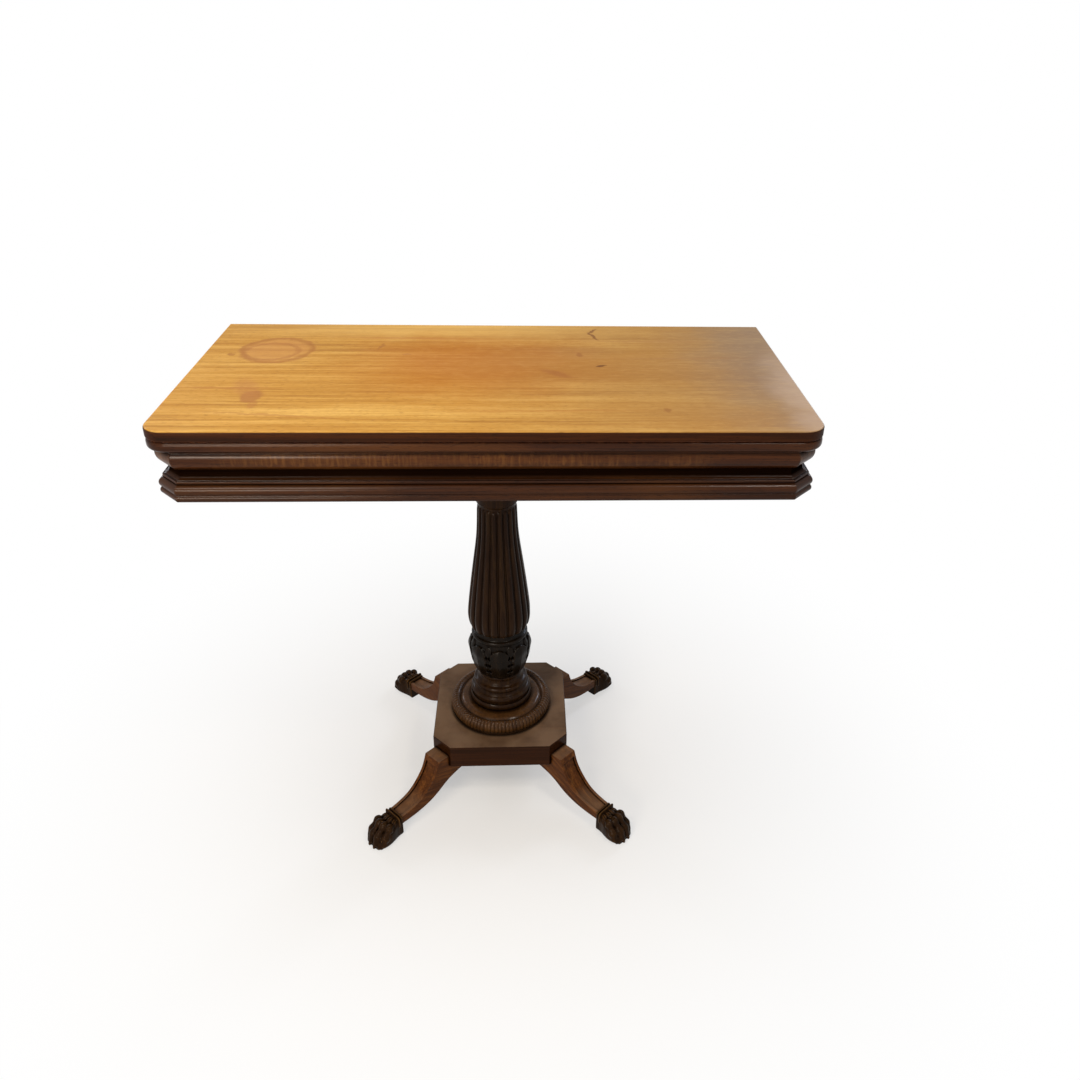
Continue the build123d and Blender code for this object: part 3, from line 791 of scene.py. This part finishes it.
DIAGONAL = math.sqrt(0.5)
SIDES = {
    "front": (ALONG_X, (0, 1, 0)),
    "back": (ALONG_X, (0, -1, 0)),
    "left": (ALONG_Y, (1, 0, 0)),
    "right": (ALONG_Y, (-1, 0, 0)),
    "cant_front_left": (ALONG_LEFT_CANT, (DIAGONAL, DIAGONAL, 0)),
    "cant_back_right": (ALONG_LEFT_CANT, (-DIAGONAL, -DIAGONAL, 0)),
    "cant_front_right": (ALONG_RIGHT_CANT, (-DIAGONAL, DIAGONAL, 0)),
    "cant_back_left": (ALONG_RIGHT_CANT, (DIAGONAL, -DIAGONAL, 0)),
}
for number, (side, (turn, inward)) in enumerate(SIDES.items()):
    finish = polished_mahogany(f"polished_mahogany_{side}", turn, 0.7 * number, inward)
    dress([f"frieze_{side}", f"moulding_{side}"], finish)
NO_INSIDE = (0, 0, 0)
leaf_edge = polished_mahogany("polished_mahogany_leaf_edge", ALONG_X, 6.3, NO_INSIDE)
dress(["lower_leaf"], leaf_edge)

# %% [markdown]
# ## Crossbanding
#
# The playing side of each leaf has a border of veneer laid with its grain across the edge. A
# point belongs to an end border when it is nearer to the end of the leaf than to its front or
# back, and its grain then runs along X.

# %% Crossbanded mahogany
HALF_LENGTH, HALF_DEPTH = 445, 220

crossbanded, tree, output, place = new_material("crossbanded_mahogany")
tones = ("#3A1B0E", "#5A301B", "#7A4A2C")
along_y, height_y, cloud = figure(
    tree, place, ALONG_Y, tones, "#4A2513", "#1E0E07", band_mm=7, seed=2.2
)
along_x, height_x, _ = figure(
    tree, place, ALONG_X, tones, "#4A2513", "#1E0E07", band_mm=7, seed=4.4
)
size = add(tree, "ShaderNodeVectorMath", {0: place}, operation="ABSOLUTE").outputs[0]
parts = add(tree, "ShaderNodeSeparateXYZ", {0: size})
end_setback = add(
    tree, "ShaderNodeMath", {0: HALF_LENGTH * MM, 1: parts.outputs["X"]}, operation="SUBTRACT"
).outputs[0]
side_setback = add(
    tree, "ShaderNodeMath", {0: HALF_DEPTH * MM, 1: parts.outputs["Y"]}, operation="SUBTRACT"
).outputs[0]
is_end = add(
    tree, "ShaderNodeMath", {0: end_setback, 1: side_setback}, operation="LESS_THAN"
).outputs[0]
tone = add(
    tree, "ShaderNodeMix", {MIX_FACTOR: is_end, MIX_A: along_y, MIX_B: along_x}, data_type="RGBA"
).outputs[MIX_RESULT]
height = add(
    tree, "ShaderNodeMix", {MIX_FACTOR: is_end, 2: height_y, 3: height_x}, data_type="FLOAT"
).outputs[0]
polish(
    tree,
    output,
    tone,
    height,
    cloud,
    rough=0.36,
    shine=0.06,
    coat=0.06,
    coat_rough=0.2,
    shade_reach_mm=2,
)
dress(["upper_banding", "lower_banding"], crossbanded)

# %% [markdown]
# ## The pedestal: brown mahogany
#
# The pedestal is browner than the frieze and its polish has dulled a little. The grain stands
# upright in the column, runs along X in the platform and follows each leg outwards, because a
# leg is sawn from a plank with its grain along its length, or it would snap. What looks straight
# up gets a paler tone: dust has bleached it a little, and the rest is a painted sheen. The Z of
# the normal brings it in, and a slow noise wipes some of it off again.

# %% Pedestal mahogany
def pedestal_mahogany(name, turn, seed, tones, dust_and_sheen=0.0, coat=0.06, arris_mm=0.7):
    """Brown mahogany under old shellac, with a share of dust and painted sheen on what looks up."""
    material, tree, output, place = new_material(name)
    tone, height, cloud = figure(
        tree, place, turn, tones, tones[1], tones[0], band_mm=8, seed=seed
    )
    normal = add(tree, "ShaderNodeNewGeometry").outputs["Normal"]
    upward = add(tree, "ShaderNodeSeparateXYZ", {0: normal}).outputs["Z"]
    flat = add(
        tree, "ShaderNodeMapRange", {"Value": upward, "From Min": 0.75, "From Max": 1.0}
    ).outputs["Result"]
    wiped = add(
        tree, "ShaderNodeTexNoise", {"Vector": place, "Scale": 1 / (55 * MM), "Detail": 4.0}
    ).outputs["Fac"]
    left = add(
        tree,
        "ShaderNodeMapRange",
        {"Value": wiped, "From Min": 0.35, "From Max": 0.6, "To Min": 0.55},
    ).outputs["Result"]
    dust_and_sheen_mask = add(tree, "ShaderNodeMath", {0: flat, 1: left}, operation="MULTIPLY").outputs[0]
    # Paler tone on what looks up: partly dust, partly a painted sheen.
    tone = tint(tree, tone, dust_and_sheen_mask, "#8A7058", dust_and_sheen)
    polish(
        tree,
        output,
        tone,
        height,
        cloud,
        rough=0.3,
        shine=0.03,
        coat=coat,
        coat_rough=0.16,
        arris_mm=arris_mm,
    )
    return material


turned_wood = pedestal_mahogany(
    "turned_mahogany", ALONG_Z, 1.9, ("#180C04", "#231408", "#30200E")
)
dress(["ringed_socle", "column_shaft"], turned_wood)
ring_wood = pedestal_mahogany(
    "ring_mahogany", ALONG_Z, 4.2, ("#2E1C0D", "#402914", "#54391F"), coat=0.16
)
dress(["ring_dish"], ring_wood)
platform_wood = pedestal_mahogany(
    "platform_mahogany", ALONG_X, 6.1, ("#1E0E03", "#281306", "#361C0A"), dust_and_sheen=0.55
)
dress(["platform"], platform_wood)
LEG_ANGLES = {"back_right": 45, "back_left": 135, "front_left": 225, "front_right": 315}
for corner, angle in LEG_ANGLES.items():
    turn = (0, math.radians(-32), math.radians(-angle))
    finish = pedestal_mahogany(
        f"leg_mahogany_{corner}",
        turn,
        angle / 50,
        ("#3A1D0A", "#4E2B0F", "#6A401B"),
        dust_and_sheen=0.35,
        arris_mm=1.4,
    )
    dress([f"leg_{corner}"], finish)

# %% [markdown]
# ## Ebonised carving
#
# The paws and the leafy cup are carved, and carving was often stained nearly black to look like
# bronze. The stain wears off where hands and dusters reach, so high places show brown, and
# dark wax stays in the hollows. Pointiness measures just that: above one half a place sticks
# out, below it lies in a groove. Shoes and brooms have rubbed the paws much browner than the cup,
# and on the paws' knuckles that brown is also a painted highlight.

# %% Stained carving
def stained_carving(name, tones, rubbed, wear_and_highlight_share, coat):
    """Ebonised wood whose high places are rubbed to brown, on the paws also a painted highlight."""
    material, tree, output, place = new_material(name)
    tone, height, cloud = figure(tree, place, ALONG_Z, tones, tones[1], tones[0], seed=8.3)
    point = add(tree, "ShaderNodeNewGeometry").outputs["Pointiness"]
    high = add(
        tree, "ShaderNodeMapRange", {"Value": point, "From Min": 0.51, "From Max": 0.58}
    ).outputs["Result"]
    low = add(
        tree, "ShaderNodeMapRange", {"Value": point, "From Min": 0.49, "From Max": 0.43}
    ).outputs["Result"]
    # High places painted brown: wear, and on the paws' knuckles a painted highlight as well.
    tone = tint(tree, tone, high, rubbed, wear_and_highlight_share)
    tone = tint(tree, tone, low, "#0A0704", 0.8)
    polish(
        tree,
        output,
        tone,
        height,
        cloud,
        rough=0.3,
        shine=0.03,
        coat=coat,
        coat_rough=0.16,
        arris_mm=0.3,
        shade_reach_mm=5,
    )
    return material


carved_cup = stained_carving("ebonised_cup", ("#0A0703", "#110B06", "#1A120A"), "#2C2116", 0.4, 0.1)
carved_paw = stained_carving("rubbed_paw_with_painted_highlight", ("#180E05", "#241508", "#33200E"), "#87602F", 0.55, 0.03)
dress(["leaf_cup"], carved_cup)
dress([f"paw_{corner}" for corner in LEG_ANGLES], carved_paw)

# %% [markdown]
# ## Pine inside
#
# Nobody sees the bearer, the rail and the floor of the card well until the top is swung, so they
# are plain pine: straw yellow, with wide red-brown bands of late wood, left from the plane
# without any polish.

# %% Bare pine
pine, tree, output, place = new_material("bare_planed_pine")
tone, height, cloud = figure(tree, place, ALONG_X, PINE_TONES, "#B98A55", "#8E6236", band_mm=14)
polish(
    tree,
    output,
    tone,
    height,
    cloud,
    rough=0.62,
    shine=0.3,
    coat=0.0,
    coat_rough=0.3,
    arris_mm=0.4,
    shade_reach_mm=3,
)
pine_parts = ["column_bearer", "pivot_rail", "well_board", "paw_dowels"]
pine_parts += ["column_wedge_top", "column_wedge_bottom"]
pine_parts += [name for name in nodes if name.startswith("corner_block")]
dress(pine_parts, pine)

# %% [markdown]
# ## Metals
#
# The hinges are cast brass and the swivel is wrought iron. A metal's colour is the colour of its
# reflection, so both are fully metallic and keep the default index of refraction. Old brass has
# browned in patches, and iron is dull, with a bloom of rust.

# %% Aged brass and wrought iron
TARNISH_ROUGHENS = 0.25


def old_metal(name, clean, tarnish, patch_mm, rough):
    """A metal with patches of tarnish that are rougher than the clean parts."""
    material, tree, output, place = new_material(name)
    blotches = add(
        tree, "ShaderNodeTexNoise", {"Vector": place, "Scale": 1 / (patch_mm * MM), "Detail": 6.0}
    ).outputs["Fac"]
    colour = add(
        tree, "ShaderNodeValToRGB", {"Fac": blotches}, stops=[(0.38, clean), (0.68, tarnish)]
    ).outputs["Color"]
    worn = {
        "Value": blotches,
        "From Min": 0.4,
        "From Max": 0.65,
        "To Min": rough,
        "To Max": rough + TARNISH_ROUGHENS,
    }
    roughness = add(tree, "ShaderNodeMapRange", worn)
    edge = add(tree, "ShaderNodeBevel", {"Radius": 0.25 * MM}, samples=4).outputs[0]
    bump = add(
        tree,
        "ShaderNodeBump",
        {"Height": blotches, "Normal": edge, "Strength": 0.3, "Distance": 0.1 * MM},
    ).outputs[0]
    shader = add(
        tree,
        "ShaderNodeBsdfPrincipled",
        {
            "Base Color": colour,
            "Metallic": 1.0,
            "Roughness": roughness.outputs["Result"],
            "Normal": bump,
        },
    )
    tree.links.new(shader.outputs[0], output.inputs["Surface"])
    return material


brass = old_metal("aged_cast_brass", "#A8863F", "#7E6230", 9, 0.32)
dress([name for name in nodes if name.startswith("hinge")], brass)
iron = old_metal("wrought_iron", "#55504B", "#4A3326", 3, 0.5)
dress([name for name in nodes if name.startswith("swivel")] + ["leg_screws"], iron)

# %% [markdown]
# ## Skins over rings of points
#
# Turned and carved wood is easier to write down as a row of sections than as a pile of boxes. A
# section is a ring of points, and a skin joins each ring to the next and fills the two ends, so
# that the piece is a closed solid. Profiles are given by a few measured points, and a smooth
# curve through them supplies the points between.

# %% Curves and skins
def curve_through(points, steps):
    """Points of a smooth curve through the given ones, with so many steps between each two."""
    ghosts = [Vector(point) for point in (points[0], *points, points[-1])]
    line = []
    for a, b, c, d in zip(ghosts, ghosts[1:], ghosts[2:], ghosts[3:]):
        for step in range(steps):
            t = step / steps
            bend = (2 * a - 5 * b + 4 * c - d) * t**2 + (3 * b - a - 3 * c + d) * t**3
            line.append(b + 0.5 * ((c - a) * t + bend))
    return line + [ghosts[-1]]


def skin(name, rings):
    """A closed mesh over rings with the same number of points, given in millimetres."""
    count = len(rings[0])
    points = [Vector(point) * MM for ring in rings for point in ring]
    faces = [tuple(range(count)), tuple(range(len(points) - count, len(points)))]
    for low in range(0, len(points) - count, count):
        for step in range(count):
            after = (step + 1) % count
            faces.append((low + step, low + after, low + count + after, low + count + step))
    mesh = bpy.data.meshes.new(name)
    mesh.from_pydata(points, [], faces)
    return mesh


def joined(name, meshes):
    """One mesh of several, with every face looking outwards."""
    shape = bmesh.new()
    for mesh in meshes:
        shape.from_mesh(mesh)
    bmesh.ops.recalc_face_normals(shape, faces=shape.faces)
    whole = bpy.data.meshes.new(name)
    shape.to_mesh(whole)
    shape.free()
    return whole


def put(name, mesh, material, replaced, body="pedestal", sharp=38):
    """Show a mesh on a body in place of a CAD part, smooth but for its sharp edges."""
    mesh.materials.append(material)
    mesh.shade_smooth()
    mesh.set_sharp_from_angle(angle=math.radians(sharp))
    piece = bpy.data.objects.new(name, mesh)
    bpy.context.scene.collection.objects.link(piece)
    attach(piece, body)
    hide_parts(replaced)
    print(name, "for", replaced, "with", len(mesh.polygons), "faces")
    return piece


# %% [markdown]
# ## The reeded shaft
#
# The turner leaves the shaft round, and the carver then cuts twenty valleys down it so that
# twenty half-round reeds stand between them. Each section here is drawn the same way: half an
# ellipse per reed, over four fifths of its share of the circle, and a flat valley beside it. The
# reeds get narrower and shallower with the shaft, and at both ends they run out in rounded tips.
# Above them a hollow neck and a plain collar lead to a long flare under the frieze, and below a
# round tenon goes down through the platform.

# %% Reeded shaft
REEDS = 20
STEPS_PER_REED = 16
REED_DEPTH = 3.8
REED_SHARE = 0.8
TIP_LENGTH = 7
FULLEST, TENON = 53, 19

reeded_part = curve_through(
    [
        (45.6, 303),
        (50.2, 309.4),
        (53, 323.7),
        (52.8, 342.9),
        (47.9, 385.6),
        (42.3, 427.7),
        (36.8, 467.6),
        (34, 496.8),
        (32.3, 539.2),
    ],
    10,
)
head_part = (
    curve_through([(30.4, 539.3), (30.2, 541), (30.8, 543.5), (33, 546.6)], 4)
    + [Vector((34, 547.6)), Vector((34, 565.6))]
    + curve_through([(34, 565.8), (34.5, 583), (36, 600), (39.4, 618), (45, 635.2)], 5)
    + [Vector((47.4, 635.3)), Vector((47.4, 641.2))]
    + curve_through([(47.6, 641.3), (51.8, 645), (54.8, 650.2), (56, 659.1)], 4)
    + [Vector((TENON, 659.15)), Vector((TENON, 682.9))]
)


def reeded_ring(radius, level, depth):
    """Section of the shaft: reeds of a depth that touch a circle."""
    ring = []
    for step in range(REEDS * STEPS_PER_REED):
        across = 2 * (step % STEPS_PER_REED) / STEPS_PER_REED - 1
        on_reed = min(1, abs(across) / REED_SHARE)
        reach = radius - depth * (1 - math.sqrt(1 - on_reed**2))
        angle = 2 * math.pi * step / (REEDS * STEPS_PER_REED)
        ring.append((reach * math.cos(angle), reach * math.sin(angle), level))
    return ring


rings = [reeded_ring(TENON, 83.3, 0), reeded_ring(TENON, 302.9, 0)]
for radius, level in reeded_part:
    from_end = min(level - reeded_part[0].y, reeded_part[-1].y - level, TIP_LENGTH) / TIP_LENGTH
    depth = REED_DEPTH * radius / FULLEST
    tip = math.sqrt(1 - (1 - from_end) ** 2)
    rings.append(reeded_ring(radius - depth * (1 - tip), level, depth * tip))
rings += [reeded_ring(radius, level, 0) for radius, level in head_part]
shaft = joined("reeded_shaft", [skin("shaft_skin", rings)])
put("reeded_shaft", shaft, turned_wood, "column_shaft")

# %% [markdown]
# ## The leafy cup
#
# Below the shaft sits a cup of carved leaves. Eight broad leaves stand round it side by side and
# swell out at their tips, and a narrow one looks out between each two. All of them are cut from
# one turned bell, so the carving is a relief: for every angle and level it says how far the wood
# stands out from the bell. A broad leaf is smooth, with a soft midrib, two shallow flutes and a
# thick rounded tip. Where two leaves meet, the carver has drilled eyes, small deep pits that
# part the lobes and look black from a distance.

# %% Relief of one leaf
def ease(value):
    """Nought below nought, one above one, and a smooth slope between."""
    value = min(1, max(0, value))
    return value * value * (3 - 2 * value)


EYES = ((0.28, 0.07), (0.5, 0.085), (0.74, 0.09))
PIT_DEPTH = 6


def leaf_relief(across, climb, widths, thick, tip_swell):
    """Height of a leaf; across is nought on its midrib, climb is one at its tip."""
    if not 0 <= climb <= 1:
        return 0
    width = np.interp(climb, (0, 0.3, 0.55, 0.75, 0.88, 0.96, 1), widths)
    side = abs(across) / max(width, 0.01)
    if side >= 1:
        return 0
    edge = ease((1 - side) / 0.16)
    rib = 0.3 * thick * math.exp(-((across / 0.07) ** 2)) * (1 - climb)
    hollow = 0.34 * thick * math.sin(math.pi * side) ** 2 * (1 - 0.7 * climb)
    swell = tip_swell * math.exp(-(((climb - 0.82) / 0.15) ** 2)) * (1 - 0.5 * side**2)
    return edge * (thick + rib - hollow + swell)


def eye_depth(gap, climb):
    """How deep the drilled eyes go beside the line where two leaves meet."""
    depth = 0
    for place, size in EYES:
        reach = math.hypot((abs(gap) - 0.15) / 0.17, (climb - place) / size)
        depth = max(depth, PIT_DEPTH * (1 - ease(reach)))
    return depth


# %% [markdown]
# The bell, its relief and a plain ring under the shaft make one closed piece.

# %% Carved cup
LEAVES = 8
STEPS_PER_LEAF = 52
CUP_FOOT, BROAD_TIP, NARROW_TIP = 214.05, 279, 284
BROAD_WIDTHS = (0.96, 0.99, 1, 0.97, 0.82, 0.55, 0.2)
NARROW_WIDTHS = (0.1, 0.1, 0.14, 0.24, 0.34, 0.26, 0.08)

bell = curve_through(
    [
        (37.6, CUP_FOOT),
        (41.4, 220),
        (45, 229),
        (47.9, 240),
        (49.5, 251),
        (49.8, 262),
        (48.6, 272),
        (46.8, 280),
        (45.2, 286),
    ],
    12,
)
necking = curve_through(
    [(45.2, 286.4), (47.4, 287.6), (48.3, 290.4), (47.2, 293.4), (44.6, 294.6)], 4
)
necking += curve_through([(43.4, 295.4), (42.6, 298), (43.2, 302.95)], 3)

rings = []
for radius, level in bell + necking:
    ring = []
    for step in range(LEAVES * STEPS_PER_LEAF):
        turn = step / STEPS_PER_LEAF
        broad_climb = (level - CUP_FOOT) / (BROAD_TIP - CUP_FOOT)
        narrow_climb = (level - CUP_FOOT) / (NARROW_TIP - CUP_FOOT)
        across = 2 * (turn - round(turn))
        broad = leaf_relief(across, broad_climb, BROAD_WIDTHS, thick=3.2, tip_swell=2.2)
        gap = 2 * (turn - 0.5 - round(turn - 0.5))
        narrow = leaf_relief(gap, narrow_climb, NARROW_WIDTHS, thick=1.6, tip_swell=1.8)
        angle = math.radians(-90 + 360 * turn / LEAVES)
        reach = radius + max(broad, narrow) - eye_depth(gap, broad_climb)
        ring.append((reach * math.cos(angle), reach * math.sin(angle), level))
    rings.append(ring)
cup = joined("carved_cup", [skin("cup_skin", rings)])
put("carved_cup", cup, carved_cup, "leaf_cup", sharp=60)

# %% [markdown]
# ## The ring on the platform
#
# A round ring hides the joint between the column and the platform. Its outer roll is gadrooned,
# that is, carved into a row of small upright lobes, and a groove parts it from a smooth
# inner roll. The lobes are the profile of the roll pushed in and out by a rounded wave.

# %% Gadrooned ring
LOBES = 84
STEPS_PER_LOBE = 8
LOBE_DEPTH = 1.5
ROLL_MIDDLE = Vector((80.5, 138))

outer_roll = curve_through(
    [
        (84.4, 129.2),
        (87.6, 132.5),
        (88.9, 137.5),
        (87.6, 143.5),
        (84, 148.6),
        (79.8, 150.6),
        (76, 149.2),
    ],
    5,
)
inner_roll = curve_through(
    [
        (73.6, 146.6),
        (72.4, 145.8),
        (70.6, 147.2),
        (66.5, 149.9),
        (61, 150.9),
        (56, 150.6),
        (51.9, 150.95),
    ],
    4,
)
foot = [(19.1, 126.05), (85.2, 126.05), (85.2, 127.9)]
outline = [Vector(point) for point in foot] + outer_roll + inner_roll
rings = []
for number, (radius, level) in enumerate(outline):
    along_roll = (number - len(foot)) / (len(outer_roll) - 1)
    on_roll = max(0, 1 - (2 * along_roll - 1) ** 4) if 0 <= along_roll <= 1 else 0
    ring = []
    for step in range(LOBES * STEPS_PER_LOBE):
        angle = 2 * math.pi * step / (LOBES * STEPS_PER_LOBE)
        valley = 1 - abs(math.cos(LOBES * angle / 2)) ** 0.7
        inward = LOBE_DEPTH * on_roll * valley
        point = Vector((radius, level))
        point -= (point - ROLL_MIDDLE).normalized() * inward
        ring.append((point.x * math.cos(angle), point.x * math.sin(angle), point.y))
    rings.append(ring)
gadroons = joined("gadrooned_ring", [skin("ring_skin", rings)])
put("gadrooned_ring", gadroons, ring_wood, "ring_dish", sharp=50)

# %% [markdown]
# ## Paw feet
#
# A carved paw is a soft shape that turned sections can't give. It is built here like a clay
# model: a body with upright sides and a straight heel, a band and a bead round the ankle, and
# four toes, each a chain of knuckles that runs from the ankle over the front down to a claw. The
# lumps are then fused by a voxel remesh, which wraps all of them in one even skin, and a few
# smoothing steps take off the voxels' stairs.
#
# The paw is modelled once, pointing along X from the ankle, and turned to each corner.

# %% Lumps of a paw
ANKLE_END = 247.1
VOXEL = 0.8
AROUND_BAR, AROUND_TUBE = 48, 20


def bar(name, sections):
    """A bar along X from sections (x, width, bottom, top, power) with round to boxy corners."""
    rings = []
    for x, width, bottom, top, power in sections:
        ring = []
        for step in range(AROUND_BAR):
            angle = 2 * math.pi * step / AROUND_BAR
            cos, sin = math.cos(angle), math.sin(angle)
            across = math.copysign(abs(cos) ** (2 / power), cos)
            up = math.copysign(abs(sin) ** (2 / power), sin)
            height = (top - bottom) / 2
            ring.append((x, width / 2 * across, bottom + height + height * up))
        rings.append(ring)
    return skin(name, rings)


def tube(name, line, radii, flat=1.0):
    """A round tube along a line, with a radius at each point; flat squeezes it sideways."""
    rings = []
    for number, middle in enumerate(line):
        along = line[min(number + 1, len(line) - 1)] - line[max(number - 1, 0)]
        side = Vector((0, 1, 0))
        up = along.cross(side).normalized()
        ring = []
        for step in range(AROUND_TUBE):
            angle = 2 * math.pi * step / AROUND_TUBE
            round_trip = side * math.cos(angle) * flat + up * math.sin(angle)
            ring.append(middle + round_trip * radii[number])
        rings.append(ring)
    return skin(name, rings)


body_of_paw = bar(
    "paw_body",
    [
        (0.2, 32.5, 0, 35.2, 8),
        (8, 33.4, 0, 36, 7),
        (14, 36, 0, 34.5, 6),
        (21, 41, 0, 33, 5),
        (29, 45, 0, 30, 4.5),
        (36, 46, 0, 26, 4),
        (43, 44, 0, 21, 3.5),
        (49, 38, 0, 15, 3),
        (53, 30, 0, 8, 3),
    ],
)
ankle_band = bar(
    "ankle_band",
    [
        (0.1, 31.6, 22.6, 40.6, 6),
        (1.4, 34, 21.2, 42, 6),
        (3.4, 34.2, 21.2, 42.2, 6),
        (4.8, 31.6, 22.6, 39.8, 6),
        (6.2, 32, 22.4, 40, 6),
        (7.4, 37.4, 20.4, 43.4, 6),
        (9.2, 37.8, 20.3, 43.6, 6),
        (10.6, 33, 22, 40.5, 6),
    ],
)
lumps = [body_of_paw, ankle_band]
TOES = [(-16.5, 0.865, 0.94), (-5.8, 1.0, 1.0), (5.8, 1.0, 1.0), (16.5, 0.865, 0.94)]
for side, reach, rise in TOES:
    spine = [
        (10, 0.58 * side, 34 * rise),
        (17, 0.68 * side, 36 * rise),
        (24, 0.8 * side, 34.5 * rise),
        (31, 0.9 * side, 34.5 * rise),
        (38, 0.97 * side, 28.5 * rise),
        (44, side, 21 * rise),
        (47.6, side, 14),
        (48.8, side, 7.6),
    ]
    line = [Vector((x * reach, y, z)) for x, y, z in curve_through(spine, 5)]
    knuckles = [4.4, 5.8, 4.8, 8.4, 6, 8.6, 7.2, 7.6]
    radii = [point[0] for point in curve_through([(radius, 0) for radius in knuckles], 5)]
    lumps.append(tube("toe", line, radii, flat=0.92))
    claw_spine = [(49, side, 8), (53, side, 6.8), (54.8, side, 4.4), (55, side, 2.2)]
    claw_line = [Vector((x * reach, y, z)) for x, y, z in curve_through(claw_spine, 4)]
    claw_radii = [4.4 - 2 * step / (len(claw_line) - 1) for step in range(len(claw_line))]
    lumps.append(tube("claw", claw_line, claw_radii, flat=0.85))

# %% [markdown]
# The remesh runs as a modifier. Its result is read back, and each point is then moved a little
# along its normal: short hair grooves fan out from the ankle over the back of the paw, and the
# sole is cut flat on the floor.

# %% Fuse, smooth and carve the hair
HAIR_DEPTH = 0.5
TOE_END = 56.9

clay = bpy.data.objects.new("clay", joined("clay", lumps))
bpy.context.scene.collection.objects.link(clay)
fuse = clay.modifiers.new("fuse", "REMESH")
fuse.mode = "VOXEL"
fuse.voxel_size = VOXEL * MM
soften = clay.modifiers.new("soften", "SMOOTH")
soften.iterations = 3
soften.factor = 0.5
settled = clay.evaluated_get(bpy.context.evaluated_depsgraph_get())
paw_mesh = bpy.data.meshes.new_from_object(settled)
bpy.data.objects.remove(clay)

for vertex in paw_mesh.vertices:
    x, y, z = (part / MM for part in vertex.co)
    top = ease((vertex.normal.z - 0.1) / 0.4)
    back = ease((x - 10) / 3) * ease((24 - x) / 9)
    fan = math.cos(2 * math.pi * y / (2.6 + 0.11 * x))
    vertex.co -= vertex.normal * HAIR_DEPTH * MM * top * back * (0.5 + 0.5 * fan)
    vertex.co.z = max(vertex.co.z, 0.0)
    vertex.co.x = min(max(vertex.co.x, 0.05 * MM), TOE_END * MM)
print("paw faces:", len(paw_mesh.polygons))

# %% Four paws
for corner, angle in LEG_ANGLES.items():
    mesh = paw_mesh.copy()
    turn = Matrix.Rotation(math.radians(angle), 4, "Z")
    mesh.transform(turn @ Matrix.Translation((ANKLE_END * MM, 0, 0)))
    put(f"carved_paw_{corner}", mesh, carved_paw, f"paw_{corner}", sharp=70)

# %% [markdown]
# ## Green baize
#
# The playing surface is baize, a woollen cloth that is milled until its weave disappears under a
# short nap. It is glued flat into a shallow bed inside the crossbanding, so each cloth is a
# plain sheet that lies on its leaf. Milling leaves it very slightly uneven, by less than a tenth
# of a millimetre.
#
# Wool scatters light from the tips of its nap, which a sheen lobe does, and two noises give it
# the fine fleck of the fibre and the slow fading where hands and cards have rubbed it.

# %% Baize
felt, tree, output, place = new_material("green_wool_baize")
fleck = add(
    tree, "ShaderNodeTexNoise", {"Vector": place, "Scale": 1 / (1.1 * MM), "Detail": 4.0}
).outputs["Fac"]
rubbed = add(
    tree, "ShaderNodeTexNoise", {"Vector": place, "Scale": 1 / (90 * MM), "Detail": 3.0}
).outputs["Fac"]
tone = add(
    tree, "ShaderNodeValToRGB", {"Fac": fleck}, stops=[(0.35, "#1F3B26"), (0.65, "#34593A")]
).outputs["Color"]
worn = add(
    tree,
    "ShaderNodeMapRange",
    {"Value": rubbed, "From Min": 0.4, "From Max": 0.75, "To Max": 0.25},
).outputs["Result"]
tone = tint(tree, tone, worn, "#5C7350", 1.0)
nap = add(
    tree, "ShaderNodeBump", {"Height": fleck, "Strength": 0.5, "Distance": 0.3 * MM}
).outputs[0]
shader = add(
    tree,
    "ShaderNodeBsdfPrincipled",
    {
        "Base Color": tone,
        "Roughness": 0.95,
        "Specular IOR Level": 0.2,
        "Sheen Weight": 0.35,
        "Sheen Roughness": 0.5,
        "Normal": nap,
    },
)
tree.links.new(shader.outputs[0], output.inputs["Surface"])

BAIZE_LENGTH, BAIZE_DEPTH = 821.9, 371.9
COLUMNS, ROWS = 110, 50
THICKNESS = 0.88


def cloth(name, glued, level, nap_side):
    """A sheet of baize with a flat glued face at a level and an uneven nap face a little off it."""
    rings = []
    for column in range(COLUMNS + 1):
        x = BAIZE_LENGTH * (column / COLUMNS - 0.5)
        face, back = [], []
        for row in range(ROWS + 1):
            y = BAIZE_DEPTH * (row / ROWS - 0.5)
            uneven = 0.04 * math.sin(x / 17 + y / 29) + 0.03 * math.sin(x / 7 - y / 11)
            face.append((x, y, level + nap_side * (THICKNESS + uneven)))
            back.append((x, y, level))
        rings.append(face + back[::-1])
    mesh = joined(name, [skin(name, rings)])
    body = "lower_top" if glued == "lower_leaf" else "upper_top"
    piece = put(name, mesh, felt, glued.replace("leaf", "baize"), body=body)


cloth("lower_cloth", "lower_leaf", 745.42, 1)
cloth("upper_cloth", "upper_leaf", 748.18, -1)
